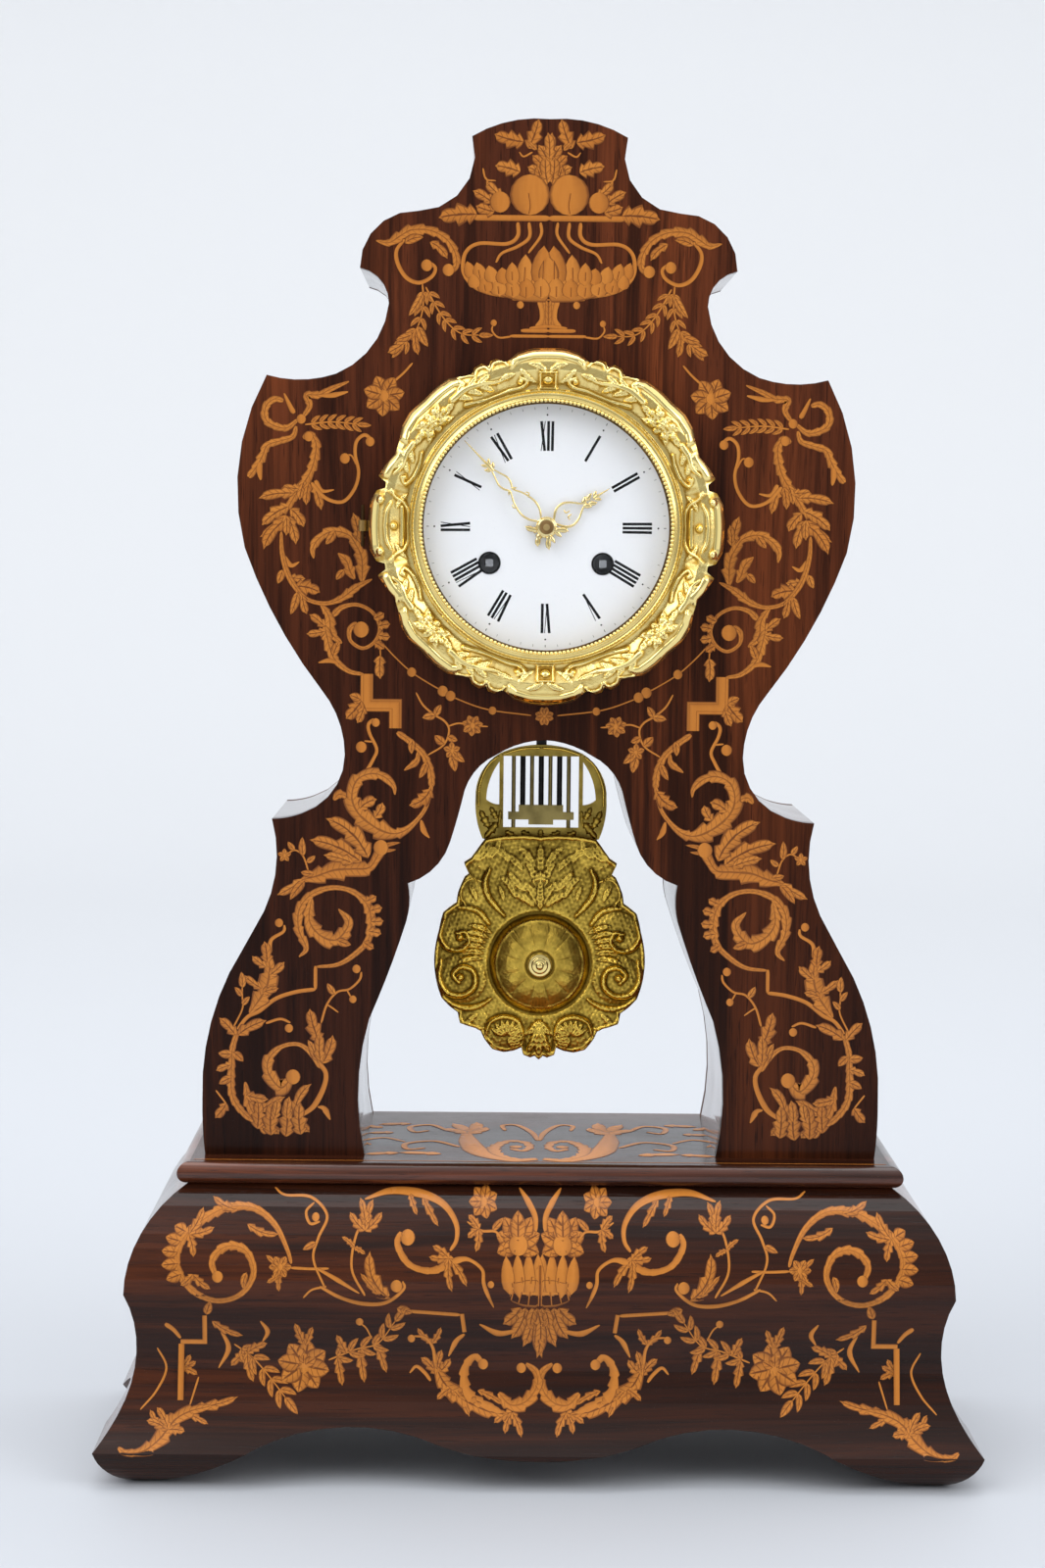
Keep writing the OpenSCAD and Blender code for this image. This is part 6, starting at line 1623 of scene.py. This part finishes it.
class CLOCK_OT_inlay(Build):
    """Lays the marquetry of the case, the base and the shelf"""

    bl_idname = "clock.inlay"
    bl_label = "Marquetry"

    def build(self, clock):
        proud = clock.inlay.proud / MM
        look = inlay_wood("Inlay wood", clock.inlay, clock.wood)
        shelf_look = inlay_wood("Shelf inlay wood", clock.inlay, clock.wood, 0.02, 1.25)
        for name, pattern, place, wood in (
            ("case_inlay", case_marquetry, on_front, look),
            ("base_inlay", base_marquetry, on_base(), look),
            ("shelf_inlay", shelf_marquetry, on_shelf, shelf_look),
        ):
            panel = Inlay()
            pattern(panel)
            panel.lay(name, place, wood, proud)


class CLOCK_OT_bezel(Build):
    """Models the cast bezel, the sight ring with its beads, and the glass"""

    bl_idname = "clock.bezel"
    bl_label = "Bezel"

    def build(self, clock):
        crest, hollow = tuple(clock.gilt.bright), tuple(clock.gilt.deep)
        gilt = gilding("Bright gilding", crest, hollow, 0.40, 0.30, 0.66, True)
        points, faces, cavity = bezel_shell(clock.bezel)
        piece("bezel_relief", points, faces, gilt, "bezel", True, {"cavity": cavity},
              ["bezel_casting"])
        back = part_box("sight_ring")[1].y / MM
        front = FLANGE_Y - 10.6
        profile = [(57.62, back), (57.62, front + 0.3), (57.9, front), (58.6, front + 0.1),
                   (59.2, front + 0.6), (60.0, front + 0.9), (60.8, front + 0.8), (61.4, front + 0.2),
                   (61.8, front - 0.8), (61.97, front - 1.0), (61.97, back)]
        turned("sight_ring_turned", profile, DIAL_Z, gilt, "bezel", 256, ["sight_ring"],
               (0.42, 0.1, 0))
        bead_y = front - 0.35
        tree, values = bead_ring(clock.bezel.beads, 57.55, clock.bezel.bead_r / MM, bead_y)
        beads = from_nodes("sight_ring_beads", tree, values, gilt)
        grey = beads.data.color_attributes.new("cavity", "FLOAT_COLOR", "POINT")
        points = np.empty(len(beads.data.vertices) * 3)
        beads.data.vertices.foreach_get("co", points)
        shade = np.clip(0.55 - 0.5 * (points[1::3] / MM - bead_y), 0, 1)
        grey.data.foreach_set("color", np.stack([shade, 0.4 + 0 * shade, shade, 1 + 0 * shade], 1).ravel())
        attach(beads, "bezel")
        paint(metal("Bezel flange", (0.33, 0.21, 0.075), 0.42), "dial_flange")
        paint(metal("Hinge brass", (0.07, 0.04, 0.018), 0.55), "hinge_pins")
        glass, g, shader, where = material("Clear glass")
        smear = use(g, groups()["handling"], Vector=where, Scale=14.0, Roughness=0.0, Amount=0.04)
        settle(g, shader, Base_Color=(1, 1, 1), Metallic=0.0, Transmission_Weight=1.0, IOR=1.02,
               Roughness=smear["Roughness"])
        paint(glass, "bezel_glass")


class CLOCK_OT_dial(Build):
    """Gives the dial its enamel, figures, ferrules and winding squares"""

    bl_idname = "clock.dial"
    bl_label = "Dial"

    def build(self, clock):
        enamel, g, shader, where = material("Enamel")
        wave = g.noise(where, 45.0, 2.0)
        fleck = g.band(g.noise(where, 900.0, 1.0), 0.68, 0.78)
        colour = g.mix(g.sum("MULTIPLY", fleck, 0.15), (0.96, 0.97, 0.99), (0.70, 0.73, 0.77))
        settle(g, shader, Base_Color=colour, Roughness=0.14, Coat_Weight=0.6, Coat_Roughness=0.03,
               Normal=g.bump(wave, 0.12, 0.0004))
        paint(enamel, "dial")
        black, g, shader, where = material("Dial black")
        wear = g.noise(where, 700.0, 3.0)
        colour = g.mix(g.band(wear, 0.55, 0.8), (0.006, 0.006, 0.007), (0.04, 0.04, 0.045))
        settle(g, shader, Base_Color=colour, Roughness=0.25)
        printed(dial_figures(clock.dial), "dial_figures", black)
        paint(black, "winding_ferrules")
        paint(metal("Steel", (0.52, 0.53, 0.55), 0.32), "going_arbor", "strike_arbor")


class CLOCK_OT_hands(Build):
    """Models the pierced gilt hands and finishes their nut"""

    bl_idname = "clock.hands"
    bl_label = "Hands"

    def build(self, clock):
        gilt = gilding("Hand gilding", (0.90, 0.72, 0.34), (0.34, 0.21, 0.07), 0.36, 0.1, 0.55)
        for name, pattern, neck, reach, hub, degrees in HANDS:
            front, back = (corner.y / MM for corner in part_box(name))
            place = on_hand(degrees, front + 0.3)
            deep = back - front - 0.32
            scrolls = Inlay()
            pattern(scrolls)
            scrolls.lay(name + "_scrolls", place, gilt, 0.06, True, name, "gilt_hands", deep, 0.12)
            path = smooth_path([(0, neck), (0, neck + 4), (0, reach)], 0.8)
            half = np.interp(np.linspace(0, 1, len(path)), *POINT_SHAPE)
            point = Inlay()
            point.strip(path, half)
            point.lay(name + "_point", place, gilt, 0.08, False, name, "gilt_hands", deep, 0.12)
            profile = [(0, back), (0, front + 0.1), (1.0, front + 0.1), (hub - 0.9, front + 0.02),
                       (hub - 0.3, front + 0.12), (hub, front + 0.4), (hub, back)]
            turned(name + "_hub", profile[::-1], DIAL_Z, gilt, name, 64, [name])
        paint(metal("Aged brass", (0.42, 0.25, 0.10), 0.38), "hand_nut")


class CLOCK_OT_pendulum(Build):
    """Models the gridiron pendulum's cast frame and bob, and finishes its rods"""

    bl_idname = "clock.pendulum"
    bl_label = "Pendulum"

    def build(self, clock):
        crest, hollow = tuple(clock.gilt.aged), tuple(clock.gilt.tarnish)
        aged = gilding("Aged gilding", crest, hollow, 0.46, 0.42, 0.92, pit=0.00022, wear=0.5)
        points, faces, cavity = bob_shell()
        piece("bob_relief", points, faces, aged, "pendulum", True, {"cavity": cavity},
              ["pendulum_bob", "bob_cap"])
        lyre = Inlay()
        pendulum_lyre(lyre)
        lyre.lay("pendulum_lyre", on_lyre, aged, 0.05, True, "pendulum", "aged_gilt", 0.3, 0.3)
        paint(metal("Frame gilding", (0.58, 0.41, 0.085), 0.38, 0.3, 0.00012), "pendulum_frame")
        y = FRAME_FRONT - BOB_GROUND[0][1]
        profile = [(0, y + 0.6), (5.6, y + 0.6), (5.6, y - 0.3), (5.0, y - 0.8), (4.4, y - 0.4),
                   (3.8, y - 0.9), (3.2, y - 1.5), (2.4, y - 1.1), (1.7, y - 1.9), (0.8, y - 2.3),
                   (0, y - 2.35)]
        nut = gilding("Nut gilding", (1.0, 0.78, 0.30), hollow, 0.30, 0.1, 0.5)
        turned("bob_nut", profile, BOB_Z, nut, "pendulum", 96)
        paint(metal("Rod brass", (0.44, 0.34, 0.12), 0.36), "pendulum_brass_rods", "pendulum_crossbar")
        paint(metal("Rod steel", (0.045, 0.042, 0.04), 0.40), "pendulum_steel_rods", "pendulum_hanger")
        paint(metal("Spring steel", (0.35, 0.36, 0.40), 0.3), "suspension_spring")


class CLOCK_OT_movement(Build):
    """Finishes the movement, the bell and the fittings at the back"""

    bl_idname = "clock.movement"
    bl_label = "Movement"

    def build(self, clock):
        brass = metal("Movement brass", clock.gilt.brass, 0.28)
        steel = metal("Movement steel", (0.42, 0.43, 0.45), 0.34)
        paint(brass, "front_plate", "back_plate", "movement_pillars", "going_barrel", "strike_barrel",
              "second_wheel", "centre_wheel", "third_wheel", "escape_wheel", "pin_wheel", "fly",
              "minute_wheel", "hour_wheel", "suspension_cock", "bell_stand", "rear_ring", "rear_door",
              "case_straps")
        paint(steel, "pallet_anchor", "cannon_pinion", "going_click", "strike_click", "hammer",
              "strap_screws", "case_screws")
        paint(metal("Bell metal", (0.62, 0.50, 0.30), 0.22, 0.6), "bell")


class CLOCK_OT_stage(Build):
    """Sets the floor, the soft lights and the camera of the photograph"""

    bl_idname = "clock.stage"
    bl_label = "Stage"

    def build(self, clock):
        floor, g, shader, where = material("Studio floor")
        # Painted shade: the sweep is darkest in front of and round the clock and grows pale far back and high
        # up
        cloud = g.noise(where, 2.0, 3.0)
        _, back, up = g.split(where)
        far = g.sum("ADD", back, up)
        rise = g.sum("MULTIPLY_ADD", far, 0.208, g.sum("MULTIPLY_ADD", cloud, 0.02, -0.05), True)
        colour = g.mix(rise, tuple(clock.stage.floor), tuple(clock.stage.wall))
        settle(g, shader, Base_Color=colour, Roughness=0.6)
        sweep(floor)
        camera(clock.stage)
        power = clock.stage.key
        soft_light("Key", (-1.5, -1.3, 1.8), (0, 0, 0.3), 1.8, 1.8, power)
        soft_light("Fill", (1.7, -1.2, 1.3), (0, 0, 0.3), 1.3, 1.3, power * 0.6)
        soft_light("Top", (0, 0.3, 2.4), (0, 0.1, 0), 2.2, 1.6, power * 0.8)
        world = bpy.data.worlds.new("Studio")
        world.use_nodes = True
        sky = Graph(world.node_tree)
        _, back, up = sky.split(world.node_tree.nodes.new("ShaderNodeTexCoord").outputs["Generated"])
        behind = sky.band(back, -0.95, -0.25, 0.44, 0.92)
        above = sky.band(up, 0.15, 0.9, 0.0, 0.35)
        shader = world.node_tree.nodes["Background"]
        settle(sky, shader, Color=(0.93, 0.96, 1.0), Strength=sky.sum("ADD", behind, above))
        bpy.context.scene.world = world
        bpy.context.scene.view_settings.view_transform = "Standard"


class ClockProperties(bpy.types.PropertyGroup):
    wood: PointerProperty(name="Wood", description="Rosewood and softwood", type=WoodLook)
    inlay: PointerProperty(name="Inlay", description="Marquetry", type=InlayLook)
    gilt: PointerProperty(name="Gilding", description="Gilt castings and brass", type=GiltLook)
    dial: PointerProperty(name="Dial", description="Figures of the dial", type=DialSizes)
    bezel: PointerProperty(name="Bezel", description="Cast bezel", type=BezelSizes)
    stage: PointerProperty(name="Stage", description="Floor, lights and camera", type=StageSizes)


STEPS = [CLOCK_OT_timber, CLOCK_OT_inlay, CLOCK_OT_bezel, CLOCK_OT_dial, CLOCK_OT_hands, CLOCK_OT_pendulum,
         CLOCK_OT_movement, CLOCK_OT_stage]


class CLOCK_PT_panel(bpy.types.Panel):
    bl_label = "Portico clock"
    bl_space_type = "VIEW_3D"
    bl_region_type = "UI"
    bl_category = "Clock"

    def draw(self, context):
        for step in STEPS:
            self.layout.operator(step.bl_idname)
        for kind in ("wood", "inlay", "gilt", "dial", "bezel", "stage"):
            box = self.layout.box()
            box.label(text=kind.capitalize())
            part = getattr(context.scene.clock, kind)
            for name in part.__annotations__:
                box.prop(part, name)


CLASSES = [WoodLook, InlayLook, GiltLook, DialSizes, BezelSizes, StageSizes, ClockProperties, *STEPS,
           CLOCK_PT_panel]


def register():
    for made in CLASSES:
        bpy.utils.register_class(made)
    bpy.types.Scene.clock = PointerProperty(type=ClockProperties)


def unregister():
    del bpy.types.Scene.clock
    for made in reversed(CLASSES):
        bpy.utils.unregister_class(made)


def main():
    register()
    for step in STEPS:
        group_name, call = step.bl_idname.split(".")
        getattr(getattr(bpy.ops, group_name), call)()


if __name__ == "__main__":
    main()
